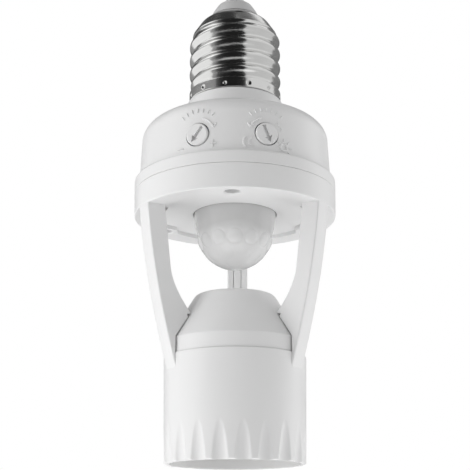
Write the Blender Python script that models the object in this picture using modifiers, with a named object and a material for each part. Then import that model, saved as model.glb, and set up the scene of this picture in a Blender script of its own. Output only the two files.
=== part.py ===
"""Motion sensor lamp holder: a screw cap above, a sensor housing, three arms and a lamp socket below.

Metres, +Z up. The origin is the centre of the lower socket's mouth, on which the part can stand.
The front, with both dials, faces -Y. Azimuths are degrees from the front towards +X.
"""
import math

import bmesh
import bpy
from mathutils import Matrix, Vector
from mathutils.geometry import interpolate_bezier

# Clearances
GAP = 0.0003            # between pieces that touch in the real holder

# Parts on the circuit board: size, then place of the middle
RELAY_SIZE = (0.0190, 0.0120, 0.0150)
RELAY_PLACE = (0.0020, 0.0090)
DROPPER_SIZE = (0.0180, 0.0080, 0.0130)
DROPPER_PLACE = (0.0000, -0.0062)
SMOOTHING_RADIUS = 0.0040
SMOOTHING_HEIGHT = 0.0115
SMOOTHING_PLACE = (-0.0145, 0.0060)
CHIP_SIZE = (0.0060, 0.0100, 0.0018)
CHIP_PLACE = (0.0155, -0.0034)
RESISTOR_RADIUS = 0.0017
RESISTOR_LENGTH = 0.0090
RESISTOR_PLACE = (-0.0150, -0.0040)
RESISTOR_RISE = 0.0008
RESISTOR_LEG = 0.0004
PART_EDGE = 0.0004
CHIP_EDGE = 0.0002
CHIP_LEGS = 5
CHIP_LEG = (0.0008, 0.0005, 0.0004)
CHIP_LEG_PITCH = 0.0018

# Facets round a full turn
ROUND_LARGE = 40
ROUND_MEDIUM = 28
ROUND_SMALL = 14
ROUND_TINY = 12
ROWS_PER_TURN = 4       # rows of facets along a thread

# Screw cap of the common 27 mm kind; the pitch follows the picture's heights, the standard one is 3.629 mm
CAP_BOTTOM_Z = 0.1020
CAP_SKIRT_RADIUS = 0.01315
CAP_SKIRT_HEIGHT = 0.0036
CAP_THREAD_MAJOR = 0.01320
CAP_THREAD_MINOR = 0.01225
CAP_THREAD_PITCH = 0.00435
CAP_THREAD_TURNS = 4.1
CAP_BORE_RADIUS = 0.01185
CAP_CONE_RADIUS = 0.0100
CAP_CONE_HEIGHT = 0.0035
CAP_NOSE_RADIUS = 0.0073
CAP_NOSE_HEIGHT = 0.0022
CAP_SHEET = 0.0005
CAP_DIMPLE_COUNT = 12
CAP_DIMPLE_RADIUS = 0.00075
CAP_DIMPLE_DEPTH = 0.0006
CAP_DIMPLE_RISE = 0.0016

# Insulator cone and centre contact of the cap
INSULATOR_HEIGHT = 0.0041
INSULATOR_TOP_RADIUS = 0.0048
INSULATOR_PLUG_DEPTH = 0.0016
CONTACT_RADIUS = 0.0032
CONTACT_HEIGHT = 0.0012

# Upper housing
SEAM_Z = 0.0743
FLANGE_RADIUS = 0.0282
FLANGE_HEIGHT = 0.0035
FLANGE_EDGE = 0.0006
WALL_STEP = 0.0013       # wall foot in from the flange
WALL_DRAFT = 0.00054     # wall top in from its foot
SHOULDER_START_Z = 0.0894
SHOULDER_SHARE = 0.655   # of the way from the collar's fillet to the wall that is round
SHOULDER_UP = 0.0054
COLLAR_RADIUS = 0.0136
COLLAR_FOOT_RADIUS = 0.0144
COLLAR_FOOT_Z = 0.0979
COLLAR_FILLET = 0.0028
HOUSING_WALL = 0.0020
NECK_BORE_RADIUS = 0.0096
NECK_TOP_DROP = 0.0010

# Adjuster dials
DIAL_AZIMUTH = 20.0
DIAL_Z = 0.0830
DIAL_RADIUS = 0.0032
DIAL_THICKNESS = 0.0014
DIAL_PROUD = 0.0005
DIAL_EDGE = 0.0003
DIAL_STEM_RADIUS = 0.0016
DELAY_DIAL_ANGLE = -144.0
LIGHT_DIAL_ANGLE = 158.0
ARROW_LENGTH = 0.0050
ARROW_WIDTH = 0.00095
ARROW_HEAD = 0.0011
ARROW_HEAD_LENGTH = 0.00154
ARROW_BARB = 0.0002
ARROW_DEPTH = 0.0007
TRIMMER_SIDE = 0.0095
TRIMMER_DEPTH = 0.0048
TRIMMER_INSET = 0.00436   # adjuster face in from the wall top

# Lower frame: rim, deck, arms and socket sleeve in one moulding
RIM_BOTTOM_Z = 0.0674
RIM_DRAFT = 0.00015      # rim in from the flange
RIM_EDGE = 0.0004
RIM_BAND = 0.0060        # width of the rim seen from below
RIM_WALL = 0.0036
LIP_THICKNESS = 0.0013
LIP_HEIGHT = 0.0018
DECK_BOTTOM_Z = 0.0685
DECK_THICKNESS = 0.0017
LENS_HOLE_RADIUS = 0.01165
BOSS_RADIUS = 0.0036
ARM_AZIMUTHS = {"left": -60.0, "right": 60.0, "back": 180.0}
ARM_WIDTH = 0.0058
ARM_STEP = 0.0002        # arm face in from the rim
ARM_TOP_DEPTH = 0.00495
ARM_ROOT_Z = 0.0692
ARM_OUTER_HANDLE = (0.851, 0.0529)    # share of the way out from foot to top, height
ARM_FOOT_HANDLE = (0.490, 0.0385)
ARM_FOOT_Z = 0.0240
ARM_WAIST = (0.751, 0.0505)           # share of the way out from crotch to top, height
ARM_WAIST_HANDLE = (0.676, 0.0460)
ARM_CROTCH_HANDLE = (0.339, 0.0420)
ARM_CROTCH_Z = 0.0386
ARM_CROTCH_GAP = 0.0004
CHANNEL_WIDTH = 0.0028
CHANNEL_DEPTH = 0.0033
CHANNEL_TOP_Z = 0.0716
CHANNEL_END_Z = 0.0358
STRIP_THICKNESS = 0.0009
WIRE_SLOT_WIDTH = 0.0026
WIRE_SLOT_SPAN = 27.0
WIRE_SLOT_START = 66.0

# Socket sleeve
SLEEVE_TOP_Z = 0.0280
SLEEVE_TOP_RADIUS = 0.0192
SLEEVE_MOUTH_RADIUS = 0.0187
SLEEVE_BORE_RADIUS = 0.0172
SLEEVE_LIP = 0.0006
SLEEVE_WALL = 0.0008    # left behind the flutes and at the arm roots
LEDGE_Z = 0.0220
LEDGE_THICKNESS = 0.0016
LEDGE_BORE_RADIUS = 0.0148
FLUTE_COUNT = 20
FLUTE_PHASE = 8.2
FLUTE_HEIGHT = 0.0100
FLUTE_DEPTH = 0.0009
FLUTE_HALF_WIDTH = 0.0027
FLUTE_SECTION_DEPTH = 0.0017

# Socket cover
COVER_BAND_RADIUS = 0.01885
COVER_BAND_HEIGHT = 0.0038
COVER_TOP_Z = 0.0452
COVER_TOP_RADIUS = 0.0108
COVER_EDGE = 0.0011
COVER_WALL = 0.0016
COVER_PLUG_RADIUS = 0.0169
COVER_PLUG_BORE = 0.0160
COVER_THROAT = 0.0166
COVER_CEILING = 0.0096
WIRE_HOLE_RADIUS = 0.0012
WIRE_HOLE_Z = 0.0370

# Lens, sensor and circuit board
DOME_RADIUS = 0.01066
DOME_CENTRE_Z = 0.06344
DOME_WALL = 0.0007
LENS_SKIRT_RADIUS = 0.0111
LENS_FLANGE_RADIUS = 0.0135
LENS_FLANGE_THICKNESS = 0.0008
RETAINER_RADIUS = 0.0158
RETAINER_BORE = 0.0122
RETAINER_HEIGHT = 0.0016
BOARD_Z = 0.0742
BOARD_INSET = 0.0034     # board edge in from the rim bore
BOARD_THICKNESS = 0.0016
POST_INSET = 0.0024      # post axis in from the board edge
POST_RADIUS = 0.0018
POST_AZIMUTHS = (30.0, 150.0, 210.0, 330.0)
PEG_RADIUS = 0.0008
SENSOR_RADIUS = 0.0046
SENSOR_HEIGHT = 0.0042
SENSOR_TOP_Z = 0.0724
SENSOR_RIM = 0.0004
SENSOR_PIN_RADIUS = 0.0003
SENSOR_PIN_CIRCLE = 0.0025
WINDOW_SIZE = (0.0040, 0.0030, 0.0004)

# Housing screws
SCREW_AZIMUTHS = {"front": 0.0, "right": 120.0, "left": 240.0}
SCREW_INSET = 0.0043     # screw axis in from the flange
SCREW_SHANK_RADIUS = 0.0011
SCREW_HEAD_RADIUS = 0.0017
SCREW_HEAD_HEIGHT = 0.0012
SCREW_LENGTH = 0.0100
SCREW_SUNK = 0.0021
SCREW_RECESS = (0.0022, 0.0005, 0.0007)
HOUSING_BOSS_RADIUS = 0.00235
HOUSING_BOSS_HEIGHT = 0.0100

# Lamp socket inside the sleeve, the same 27 mm thread
LAMP_THREAD_MAJOR = 0.01345
LAMP_THREAD_MINOR = 0.01235
LAMP_SHELL_SHEET = 0.0005
LAMP_SHELL_BOTTOM_Z = 0.0062
LAMP_SHELL_TURNS = 3.25
LAMP_SHELL_HOLE_RADIUS = 0.0066
BASE_THICKNESS = 0.0034
BASE_RADIUS = 0.0169
BASE_BOSS_DROP = 0.0011
LEAF_WIDTH = 0.0046
LEAF_THICKNESS = 0.0005
LEAF_ROOT_X = -0.0054
LEAF_BEND_X = -0.0024
LEAF_TIP_X = 0.0030
LEAF_DROP = 0.0016
RIVET_X = -0.0040
RIVET_RADIUS = 0.0005
RIVET_HEAD_RADIUS = 0.0011
RIVET_HEAD_HEIGHT = 0.0006

# Leads
LEAD_RADIUS = 0.0007
LIVE_LEAD = [(0.0030, 0.1180), (0.0022, 0.1240), (0.0008, 0.1272)]
NEUTRAL_LEAD = [(-0.0040, 0.1190), (-0.0048, 0.1222), (-0.0066, 0.1239), (-0.0100, 0.1242)]
CAP_LEAD_Y = 0.0003
# Outward from the rim's inner edge, height
BOARD_TO_ARM = [(-0.0019, 0.0739), (-0.0016, 0.0726), (0.0002, 0.0714), (0.0018, 0.0699), (0.0027, 0.0679)]
ARM_LEAD_DEPTH = 0.0021
ARM_TO_BASE = [(0.0165, 0.0372), (0.0140, 0.0369), (0.0126, 0.0358), (0.0120, 0.0335), (0.0120, 0.0276)]

# Sizes worked out from the ones above
FLANGE_BOTTOM_Z = SEAM_Z + GAP / 2
RIM_TOP_Z = SEAM_Z - GAP / 2
WALL_FOOT_Z = FLANGE_BOTTOM_Z + FLANGE_HEIGHT - 0.5 * GAP
COLLAR_TOP_Z = CAP_BOTTOM_Z - GAP
THREAD_BOTTOM_Z = CAP_BOTTOM_Z + CAP_SKIRT_HEIGHT
THREAD_TOP_Z = THREAD_BOTTOM_Z + CAP_THREAD_TURNS * CAP_THREAD_PITCH
CONE_TOP_Z = THREAD_TOP_Z + CAP_CONE_HEIGHT
NOSE_TOP_Z = CONE_TOP_Z + CAP_NOSE_HEIGHT
INSULATOR_Z = NOSE_TOP_Z + GAP
CONTACT_Z = INSULATOR_Z + INSULATOR_HEIGHT + GAP
NECK_RADIUS = CAP_BORE_RADIUS - GAP
NECK_TOP_Z = THREAD_TOP_Z - NECK_TOP_DROP
DECK_TOP_Z = DECK_BOTTOM_Z + DECK_THICKNESS
WALL_FOOT_RADIUS = FLANGE_RADIUS - WALL_STEP
WALL_TOP_RADIUS = WALL_FOOT_RADIUS - WALL_DRAFT
SHOULDER_ACROSS = SHOULDER_SHARE * (WALL_TOP_RADIUS - COLLAR_FOOT_RADIUS - COLLAR_FILLET)
TRIMMER_FACE_RADIUS = WALL_TOP_RADIUS - TRIMMER_INSET
RIM_RADIUS = FLANGE_RADIUS - RIM_DRAFT
RIM_INNER_RADIUS = FLANGE_RADIUS - RIM_BAND
RIM_BORE_RADIUS = FLANGE_RADIUS - RIM_WALL
ARM_TOP_OUTER = RIM_RADIUS - ARM_STEP
ARM_TOP_INNER = ARM_TOP_OUTER - ARM_TOP_DEPTH
CHANNEL_INNER = RIM_INNER_RADIUS + GAP
WIRE_SLOT_INNER = RIM_INNER_RADIUS - WIRE_SLOT_WIDTH
BOARD_RADIUS = RIM_BORE_RADIUS - BOARD_INSET
POST_CIRCLE = BOARD_RADIUS - POST_INSET
SCREW_CIRCLE = FLANGE_RADIUS - SCREW_INSET
LIP_TOP_Z = RIM_TOP_Z + LIP_HEIGHT
LIP_OUTER_RADIUS = RIM_BORE_RADIUS + LIP_THICKNESS
FRAME_BOSS_TOP_Z = RIM_TOP_Z - GAP
SCREW_HEAD_TOP_Z = RIM_BOTTOM_Z + SCREW_SUNK + SCREW_HEAD_HEIGHT
SCREW_TOP_Z = SCREW_HEAD_TOP_Z + SCREW_LENGTH
BOARD_TOP_Z = BOARD_Z + BOARD_THICKNESS
PARTS_Z = BOARD_TOP_Z + GAP
BASE_Z = LEDGE_Z + LEDGE_THICKNESS + GAP
BASE_TOP_Z = BASE_Z + BASE_THICKNESS
LAMP_SHELL_TOP_Z = BASE_Z - GAP
BASE_BOSS_Z = BASE_Z - BASE_BOSS_DROP
LEAF_Z = BASE_BOSS_Z - GAP
COVER_BAND_Z = SLEEVE_TOP_Z + GAP
COVER_CONE_Z = COVER_BAND_Z + COVER_BAND_HEIGHT

COLLECTION = "motion_sensor_lamp_holder"
CUTTERS = "cutters"


def clear_scene():
    for obj in list(bpy.data.objects):
        bpy.data.objects.remove(obj, do_unlink=True)
    for name in (COLLECTION, CUTTERS):
        collection = bpy.data.collections.new(name)
        bpy.context.scene.collection.children.link(collection)


def material(name, colour, roughness, metallic=0.0):
    found = bpy.data.materials.get(name)
    if found:
        return found
    made = bpy.data.materials.new(name)
    made.use_nodes = True
    shader = made.node_tree.nodes["Principled BSDF"]
    shader.inputs["Base Color"].default_value = (*colour, 1.0)
    shader.inputs["Roughness"].default_value = roughness
    shader.inputs["Metallic"].default_value = metallic
    return made


def add_object(name, mesh, finish=None):
    """A part when it has a finish, a cutter when it has none."""
    obj = bpy.data.objects.new(name, mesh)
    bpy.data.collections[COLLECTION if finish else CUTTERS].objects.link(obj)
    if finish:
        mesh.materials.append(finish)
    else:
        obj.hide_render = True
        obj.display_type = "WIRE"
    return obj


def mesh_from(name, bm):
    mesh = bpy.data.meshes.new(name)
    bm.to_mesh(mesh)
    bm.free()
    return mesh


def smooth(obj, angle=35.0):
    obj.data.shade_smooth()
    obj.data.set_sharp_from_angle(angle=math.radians(angle))
    return obj


def turned(name, profile, finish=None, steps=ROUND_MEDIUM, closed=True):
    """Turns a profile of (radius, height) points, outer side first from top to bottom, about Z."""
    bm = bmesh.new()
    points = [bm.verts.new((radius, 0.0, height)) for radius, height in profile]
    for first, second in zip(points, points[1:]):
        bm.edges.new((first, second))
    if closed:
        bm.edges.new((points[-1], points[0]))
    obj = add_object(name, mesh_from(name, bm), finish)
    screw = obj.modifiers.new("turn", "SCREW")
    screw.steps = steps
    screw.render_steps = steps
    screw.use_merge_vertices = True
    screw.merge_threshold = 0.00001
    screw.use_smooth_shade = True
    if not closed:
        weld = obj.modifiers.new("weld", "WELD")
        weld.merge_threshold = 0.00001
    return obj


def arc(centre, radii, start, end, count):
    """Points on an ellipse's arc, angles in degrees from +X towards +Z."""
    angles = [math.radians(start + (end - start) * i / count) for i in range(count + 1)]
    return [(centre[0] + radii[0] * math.cos(a), centre[1] + radii[1] * math.sin(a)) for a in angles]


def box(name, size, centre, finish=None, turn=0.0):
    bm = bmesh.new()
    bmesh.ops.create_cube(bm, size=1.0, matrix=Matrix.Diagonal((*size, 1.0)))
    obj = add_object(name, mesh_from(name, bm), finish)
    obj.location = centre
    obj.rotation_euler = (0.0, 0.0, math.radians(turn))
    return obj


def rod(name, radius, low, high, finish=None, sides=ROUND_SMALL):
    """A cylinder between two points."""
    low, high = Vector(low), Vector(high)
    bm = bmesh.new()
    bmesh.ops.create_cone(bm, cap_ends=True, segments=sides, radius1=radius, radius2=radius,
                          depth=(high - low).length)
    obj = add_object(name, mesh_from(name, bm), finish)
    obj.location = (low + high) / 2
    obj.rotation_mode = "QUATERNION"
    obj.rotation_quaternion = (high - low).to_track_quat("Z", "Y")
    return smooth(obj)


def plate(name, points, thickness, finish=None):
    """A flat outline drawn as a filled curve, made a mesh of an even thickness about its own plane."""
    curve = bpy.data.curves.new(name, "CURVE")
    curve.dimensions = "2D"
    curve.fill_mode = "BOTH"
    curve.extrude = thickness / 2
    spline = curve.splines.new("POLY")
    spline.points.add(len(points) - 1)
    spline.use_cyclic_u = True
    for knot, (x, y) in zip(spline.points, points):
        knot.co = (x, y, 0.0, 1.0)
    drawn = bpy.data.objects.new(name + "_outline", curve)
    bpy.context.scene.collection.objects.link(drawn)
    mesh = bpy.data.meshes.new_from_object(drawn.evaluated_get(bpy.context.evaluated_depsgraph_get()))
    bpy.data.objects.remove(drawn, do_unlink=True)
    bm = bmesh.new()
    bm.from_mesh(mesh)
    bmesh.ops.remove_doubles(bm, verts=bm.verts, dist=0.000001)
    bmesh.ops.dissolve_limit(bm, angle_limit=0.001, verts=bm.verts, edges=bm.edges)
    bmesh.ops.recalc_face_normals(bm, faces=bm.faces)
    bpy.data.meshes.remove(mesh)
    return add_object(name, mesh_from(name, bm), finish)


def lead(name, points, finish):
    """An insulated wire along hand chosen points, rounded by its own spline."""
    curve = bpy.data.curves.new(name, "CURVE")
    curve.dimensions = "3D"
    curve.bevel_depth = LEAD_RADIUS
    curve.bevel_resolution = 2
    curve.use_fill_caps = True
    spline = curve.splines.new("POLY")
    spline.points.add(len(points) - 1)
    for knot, point in zip(spline.points, points):
        knot.co = (*point, 1.0)
    obj = bpy.data.objects.new(name, curve)
    bpy.data.collections[COLLECTION].objects.link(obj)
    curve.materials.append(finish)
    return obj


def around(azimuth, radius, height=0.0):
    """The point at an azimuth in degrees from the front, towards +X."""
    a = math.radians(azimuth)
    return Vector((radius * math.sin(a), -radius * math.cos(a), height))


def facing(azimuth, centre):
    """Local X to the onlooker's right, Y up and Z out of the housing."""
    outward = around(azimuth, 1.0)
    right = Vector((0.0, 0.0, 1.0)).cross(outward)
    frame = Matrix((right, (0.0, 0.0, 1.0), outward)).transposed().to_4x4()
    frame.translation = centre
    return frame


def radial_plane(azimuth):
    """Local X out along the azimuth, Y up, Z across."""
    outward = around(azimuth, 1.0)
    up = Vector((0.0, 0.0, 1.0))
    return Matrix((outward, up, outward.cross(up))).transposed().to_4x4()


def boolean(obj, operation, *others):
    for other in others:
        step = obj.modifiers.new(other.name, "BOOLEAN")
        step.operation = operation
        step.object = other
        step.solver = "EXACT"


def cut(obj, *cutters):
    boolean(obj, "DIFFERENCE", *cutters)


def join(obj, *pieces):
    boolean(obj, "UNION", *pieces)


def group(name, pieces, finish=None):
    """Separate solids made one mesh, in world coordinates."""
    bm = bmesh.new()
    for piece in pieces:
        bpy.context.view_layer.update()
        mesh = piece.data.copy()
        mesh.transform(piece.matrix_world)
        bm.from_mesh(mesh)
        bpy.data.meshes.remove(mesh)
        bpy.data.objects.remove(piece, do_unlink=True)
    return add_object(name, mesh_from(name, bm), finish)


def thread_rows(radius, low, high):
    """Evenly spaced rows down the wall that is to be rolled into a thread."""
    rows = round((high - low) / CAP_THREAD_PITCH * ROWS_PER_TURN)
    return [(radius, high - (high - low) * i / rows) for i in range(rows + 1)]


def roll_thread(obj, major, minor, low, high, run_out):
    """Rolls a wall of radius major into a right-hand round thread that reaches in to minor.

    Over half a turn at each end the thread fades to run_out: 0 for major, 1 for minor.
    """
    bpy.context.view_layer.update()
    mesh = bpy.data.meshes.new_from_object(obj.evaluated_get(bpy.context.evaluated_depsgraph_get()))
    obj.modifiers.clear()
    obj.data = mesh
    for vertex in mesh.vertices:
        radius = math.hypot(vertex.co.x, vertex.co.y)
        inside = low - 0.000001 < vertex.co.z < high + 0.000001
        if not inside or abs(radius - major) > 0.00001:
            continue
        turn = math.atan2(vertex.co.y, vertex.co.x) / math.tau
        wave = 0.5 - 0.5 * math.cos(math.tau * (vertex.co.z / CAP_THREAD_PITCH - turn))
        ends = min(vertex.co.z - low, high - vertex.co.z) / (CAP_THREAD_PITCH / 2)
        depth = (major - minor) * (run_out + (wave - run_out) * min(max(ends, 0.0), 1.0))
        vertex.co.x *= (radius - depth) / radius
        vertex.co.y *= (radius - depth) / radius
    return smooth(obj, 50.0)


def cap_shell(finish):
    """Plain skirt with a ring of punched marks, rolled thread and a coned top."""
    hole = CAP_NOSE_RADIUS - CAP_SHEET
    profile = [(hole, NOSE_TOP_Z), (CAP_NOSE_RADIUS, NOSE_TOP_Z), (CAP_CONE_RADIUS, CONE_TOP_Z)]
    profile += thread_rows(CAP_THREAD_MAJOR, THREAD_BOTTOM_Z, THREAD_TOP_Z)
    profile += [
        (CAP_SKIRT_RADIUS, THREAD_BOTTOM_Z - CAP_SHEET), (CAP_SKIRT_RADIUS, CAP_BOTTOM_Z),
        (CAP_BORE_RADIUS, CAP_BOTTOM_Z), (CAP_BORE_RADIUS, THREAD_TOP_Z),
        (CAP_CONE_RADIUS - CAP_SHEET, CONE_TOP_Z - CAP_SHEET), (hole, NOSE_TOP_Z - CAP_SHEET),
    ]
    shell = turned("cap_shell", profile, finish)
    roll_thread(shell, CAP_THREAD_MAJOR, CAP_THREAD_MINOR, THREAD_BOTTOM_Z, THREAD_TOP_Z, run_out=1)
    marks = []
    for i in range(CAP_DIMPLE_COUNT):
        azimuth = 360.0 * (i + 0.5) / CAP_DIMPLE_COUNT
        height = CAP_BOTTOM_Z + CAP_DIMPLE_RISE
        floor = around(azimuth, CAP_SKIRT_RADIUS - CAP_DIMPLE_DEPTH, height)
        mouth = around(azimuth, CAP_SKIRT_RADIUS + CAP_DIMPLE_DEPTH, height)
        marks.append(rod("mark", CAP_DIMPLE_RADIUS, floor, mouth, sides=8))
    cut(shell, group("cap_marks", marks))


def cap_insulator(finish):
    bore = LEAD_RADIUS + GAP
    plug = CAP_NOSE_RADIUS - CAP_SHEET - GAP
    top = INSULATOR_Z + INSULATOR_HEIGHT
    turned("cap_insulator", [
        (bore, top), (INSULATOR_TOP_RADIUS, top), (CAP_NOSE_RADIUS, INSULATOR_Z), (plug, INSULATOR_Z),
        (plug, INSULATOR_Z - INSULATOR_PLUG_DEPTH), (bore, INSULATOR_Z - INSULATOR_PLUG_DEPTH),
    ], finish)


def cap_contact(finish):
    """A domed disc, flat in the middle of its crown."""
    edge = 0.6 * CONTACT_HEIGHT
    crown = arc((CONTACT_RADIUS - edge, CONTACT_Z + CONTACT_HEIGHT - edge), (edge, edge), 90, 0, 4)
    profile = [(0.0, CONTACT_Z + CONTACT_HEIGHT), *crown, (CONTACT_RADIUS, CONTACT_Z), (0.0, CONTACT_Z)]
    turned("cap_contact", profile, finish, closed=False)


def wall_radius(height):
    """Outer radius of the housing's drafted wall."""
    share = (height - WALL_FOOT_Z) / (SHOULDER_START_Z - WALL_FOOT_Z)
    return WALL_FOOT_RADIUS + (WALL_TOP_RADIUS - WALL_FOOT_RADIUS) * share


def upper_housing(finish):
    """Neck core, collar, round shoulder, drafted wall and stepped foot in one moulding."""
    shoulder = (WALL_TOP_RADIUS - SHOULDER_ACROSS, SHOULDER_START_Z)
    fillet = (COLLAR_FOOT_RADIUS + COLLAR_FILLET, COLLAR_FOOT_Z)
    inner_radii = (SHOULDER_ACROSS - HOUSING_WALL, SHOULDER_UP - HOUSING_WALL)
    edge = (FLANGE_RADIUS - FLANGE_EDGE, WALL_FOOT_Z - FLANGE_EDGE)
    throat_z = COLLAR_FOOT_Z - COLLAR_FILLET - HOUSING_WALL
    step_z = LIP_TOP_Z + GAP
    profile = [(NECK_BORE_RADIUS, NECK_TOP_Z), (NECK_RADIUS, NECK_TOP_Z), (NECK_RADIUS, COLLAR_TOP_Z)]
    profile += [(COLLAR_RADIUS, COLLAR_TOP_Z)]
    profile += arc(fillet, (COLLAR_FILLET, COLLAR_FILLET), 180, 270, 4)
    profile += arc(shoulder, (SHOULDER_ACROSS, SHOULDER_UP), 90, 0, 6)
    profile += [(WALL_FOOT_RADIUS, WALL_FOOT_Z)]
    profile += arc(edge, (FLANGE_EDGE, FLANGE_EDGE), 90, 0, 3)
    profile += [
        (FLANGE_RADIUS, FLANGE_BOTTOM_Z), (LIP_OUTER_RADIUS + GAP, FLANGE_BOTTOM_Z),
        (LIP_OUTER_RADIUS + GAP, step_z), (wall_radius(step_z) - HOUSING_WALL, step_z),
    ]
    profile += arc(shoulder, inner_radii, 0, 90, 3)
    profile += [(COLLAR_FOOT_RADIUS, throat_z), (NECK_BORE_RADIUS, COLLAR_FOOT_Z)]
    housing = turned("upper_housing", profile, finish, ROUND_LARGE)
    bosses, bores = [], []
    for azimuth in SCREW_AZIMUTHS.values():
        foot = around(azimuth, SCREW_CIRCLE, FRAME_BOSS_TOP_Z)
        top = around(azimuth, SCREW_CIRCLE, FRAME_BOSS_TOP_Z + HOUSING_BOSS_HEIGHT)
        bosses.append(rod("boss", HOUSING_BOSS_RADIUS, foot, top, sides=ROUND_TINY))
        end = around(azimuth, SCREW_CIRCLE, SCREW_TOP_Z + GAP)
        bores.append(rod("pilot", SCREW_SHANK_RADIUS + GAP, foot - Vector((0, 0, GAP)), end, sides=8))
    for side in (-1, 1):
        inside = around(side * DIAL_AZIMUTH, TRIMMER_FACE_RADIUS, DIAL_Z)
        outside = around(side * DIAL_AZIMUTH, FLANGE_RADIUS, DIAL_Z)
        bores.append(rod("dial_hole", DIAL_RADIUS + GAP, inside, outside))
    join(housing, group("housing_bosses", bosses))
    cut(housing, group("housing_bores", bores))
    return housing


def dial(name, side, angle, finish):
    """Round adjuster with an arrow slot; its origin is on its axis, at its face."""
    face_radius = wall_radius(DIAL_Z) + DIAL_PROUD
    stem_end = face_radius - TRIMMER_FACE_RADIUS - GAP
    body = turned(name, [
        (0.0, 0.0), (DIAL_RADIUS - DIAL_EDGE, 0.0), (DIAL_RADIUS, -DIAL_EDGE), (DIAL_RADIUS, -DIAL_THICKNESS),
        (DIAL_STEM_RADIUS, -DIAL_THICKNESS), (DIAL_STEM_RADIUS, -stem_end), (0.0, -stem_end),
    ], finish, ROUND_SMALL, closed=False)
    azimuth = side * DIAL_AZIMUTH
    place = facing(azimuth, around(azimuth, face_radius, DIAL_Z))
    body.matrix_world = place @ Matrix.Rotation(math.radians(-angle), 4, "Z")
    half, half_width = ARROW_LENGTH / 2, ARROW_WIDTH / 2
    neck = half - ARROW_HEAD_LENGTH
    arrow = plate(name + "_arrow", [
        (-half_width, -half), (half_width, -half), (half_width, neck), (ARROW_HEAD, neck - ARROW_BARB),
        (0.0, half), (-ARROW_HEAD, neck - ARROW_BARB), (-half_width, neck),
    ], 2 * ARROW_DEPTH)
    arrow.matrix_world = body.matrix_world
    cut(body, arrow)


def trimmer(name, side, finish):
    """Square adjuster body that stands on the board behind its dial."""
    high = DIAL_Z + TRIMMER_SIDE / 2
    azimuth = side * DIAL_AZIMUTH
    centre = around(azimuth, TRIMMER_FACE_RADIUS - TRIMMER_DEPTH / 2, (PARTS_Z + high) / 2)
    bevel(box(name, (TRIMMER_SIDE, TRIMMER_DEPTH, high - PARTS_Z), centre, finish, azimuth), PART_EDGE)


def circuit_board(finish):
    """Round board with a hole for the peg of each post."""
    board = rod("circuit_board", BOARD_RADIUS, (0, 0, BOARD_Z), (0, 0, BOARD_TOP_Z), finish, ROUND_LARGE)
    holes = []
    for azimuth in POST_AZIMUTHS:
        low, high = (around(azimuth, POST_CIRCLE, z) for z in (BOARD_Z - GAP, BOARD_TOP_Z + GAP))
        holes.append(rod("peg_hole", PEG_RADIUS + GAP, low, high, sides=12))
    cut(board, group("peg_holes", holes))


def board_block(name, size, place, edge, finish):
    """A block-shaped part that stands on the board."""
    block = box(name, size, (*place, PARTS_Z + size[2] / 2), finish)
    bevel(block, edge, 2)
    return block


def smoothing_capacitor(finish):
    """Upright can with a crimp groove near its foot."""
    groove = 0.0005
    top = PARTS_Z + SMOOTHING_HEIGHT
    can = turned("smoothing_capacitor", [
        (0.0, top), (SMOOTHING_RADIUS - groove, top), (SMOOTHING_RADIUS, top - groove),
        (SMOOTHING_RADIUS, PARTS_Z + 5 * groove), (SMOOTHING_RADIUS - groove, PARTS_Z + 4 * groove),
        (SMOOTHING_RADIUS, PARTS_Z + 3 * groove), (SMOOTHING_RADIUS, PARTS_Z), (0.0, PARTS_Z),
    ], finish, ROUND_SMALL, closed=False)
    can.location = (*SMOOTHING_PLACE, 0.0)


def control_chip(finish):
    """Flat chip with a row of legs along each long side."""
    chip = board_block("control_chip", CHIP_SIZE, CHIP_PLACE, CHIP_EDGE, finish)
    legs = []
    for side in (-1, 1):
        for i in range(CHIP_LEGS):
            x = CHIP_PLACE[0] + side * (CHIP_SIZE[0] + CHIP_LEG[0]) / 2
            y = CHIP_PLACE[1] + (i - (CHIP_LEGS - 1) / 2) * CHIP_LEG_PITCH
            size = (2 * CHIP_LEG[0], CHIP_LEG[1], CHIP_LEG[2])
            legs.append(box("leg", size, (x - side * CHIP_LEG[0] / 2, y, PARTS_Z + GAP + CHIP_LEG[2] / 2)))
    join(chip, group("chip_legs", legs))


def fuse_resistor(finish):
    """Resistor lying along Y on two bent legs."""
    x, y = RESISTOR_PLACE
    half = RESISTOR_LENGTH / 2
    height = PARTS_Z + RESISTOR_RADIUS + RESISTOR_RISE
    body = rod("fuse_resistor", RESISTOR_RADIUS, (x, y - half, height), (x, y + half, height), finish)
    bevel(body, PART_EDGE)
    legs = []
    for side in (-1, 1):
        foot = Vector((x, y + side * (half - RESISTOR_LEG), PARTS_Z))
        legs.append(rod("leg", RESISTOR_LEG, foot, foot + Vector((0, 0, RESISTOR_RADIUS)), sides=8))
    join(body, group("resistor_legs", legs))


def pir_sensor(finish):
    """Metal can that looks down through the lens, with a brim, a window recess and three pins."""
    low = SENSOR_TOP_Z - SENSOR_HEIGHT
    can = turned("pir_sensor", [
        (0.0, SENSOR_TOP_Z), (SENSOR_RADIUS, SENSOR_TOP_Z), (SENSOR_RADIUS, SENSOR_TOP_Z - SENSOR_RIM),
        (SENSOR_RADIUS - SENSOR_RIM, SENSOR_TOP_Z - SENSOR_RIM), (SENSOR_RADIUS - SENSOR_RIM, low),
        (0.0, low),
    ], finish, ROUND_SMALL, closed=False)
    pins = []
    for azimuth in (0.0, 90.0, 180.0):
        foot, top = (around(azimuth, SENSOR_PIN_CIRCLE, z) for z in (SENSOR_TOP_Z - GAP, BOARD_Z - GAP))
        pins.append(rod("pin", SENSOR_PIN_RADIUS, foot, top, sides=8))
    join(can, group("sensor_pins", pins))
    recess = [side + 2 * GAP for side in WINDOW_SIZE]
    cut(can, box("window_recess", recess, (0, 0, low + recess[2] / 2 - GAP)))


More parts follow.
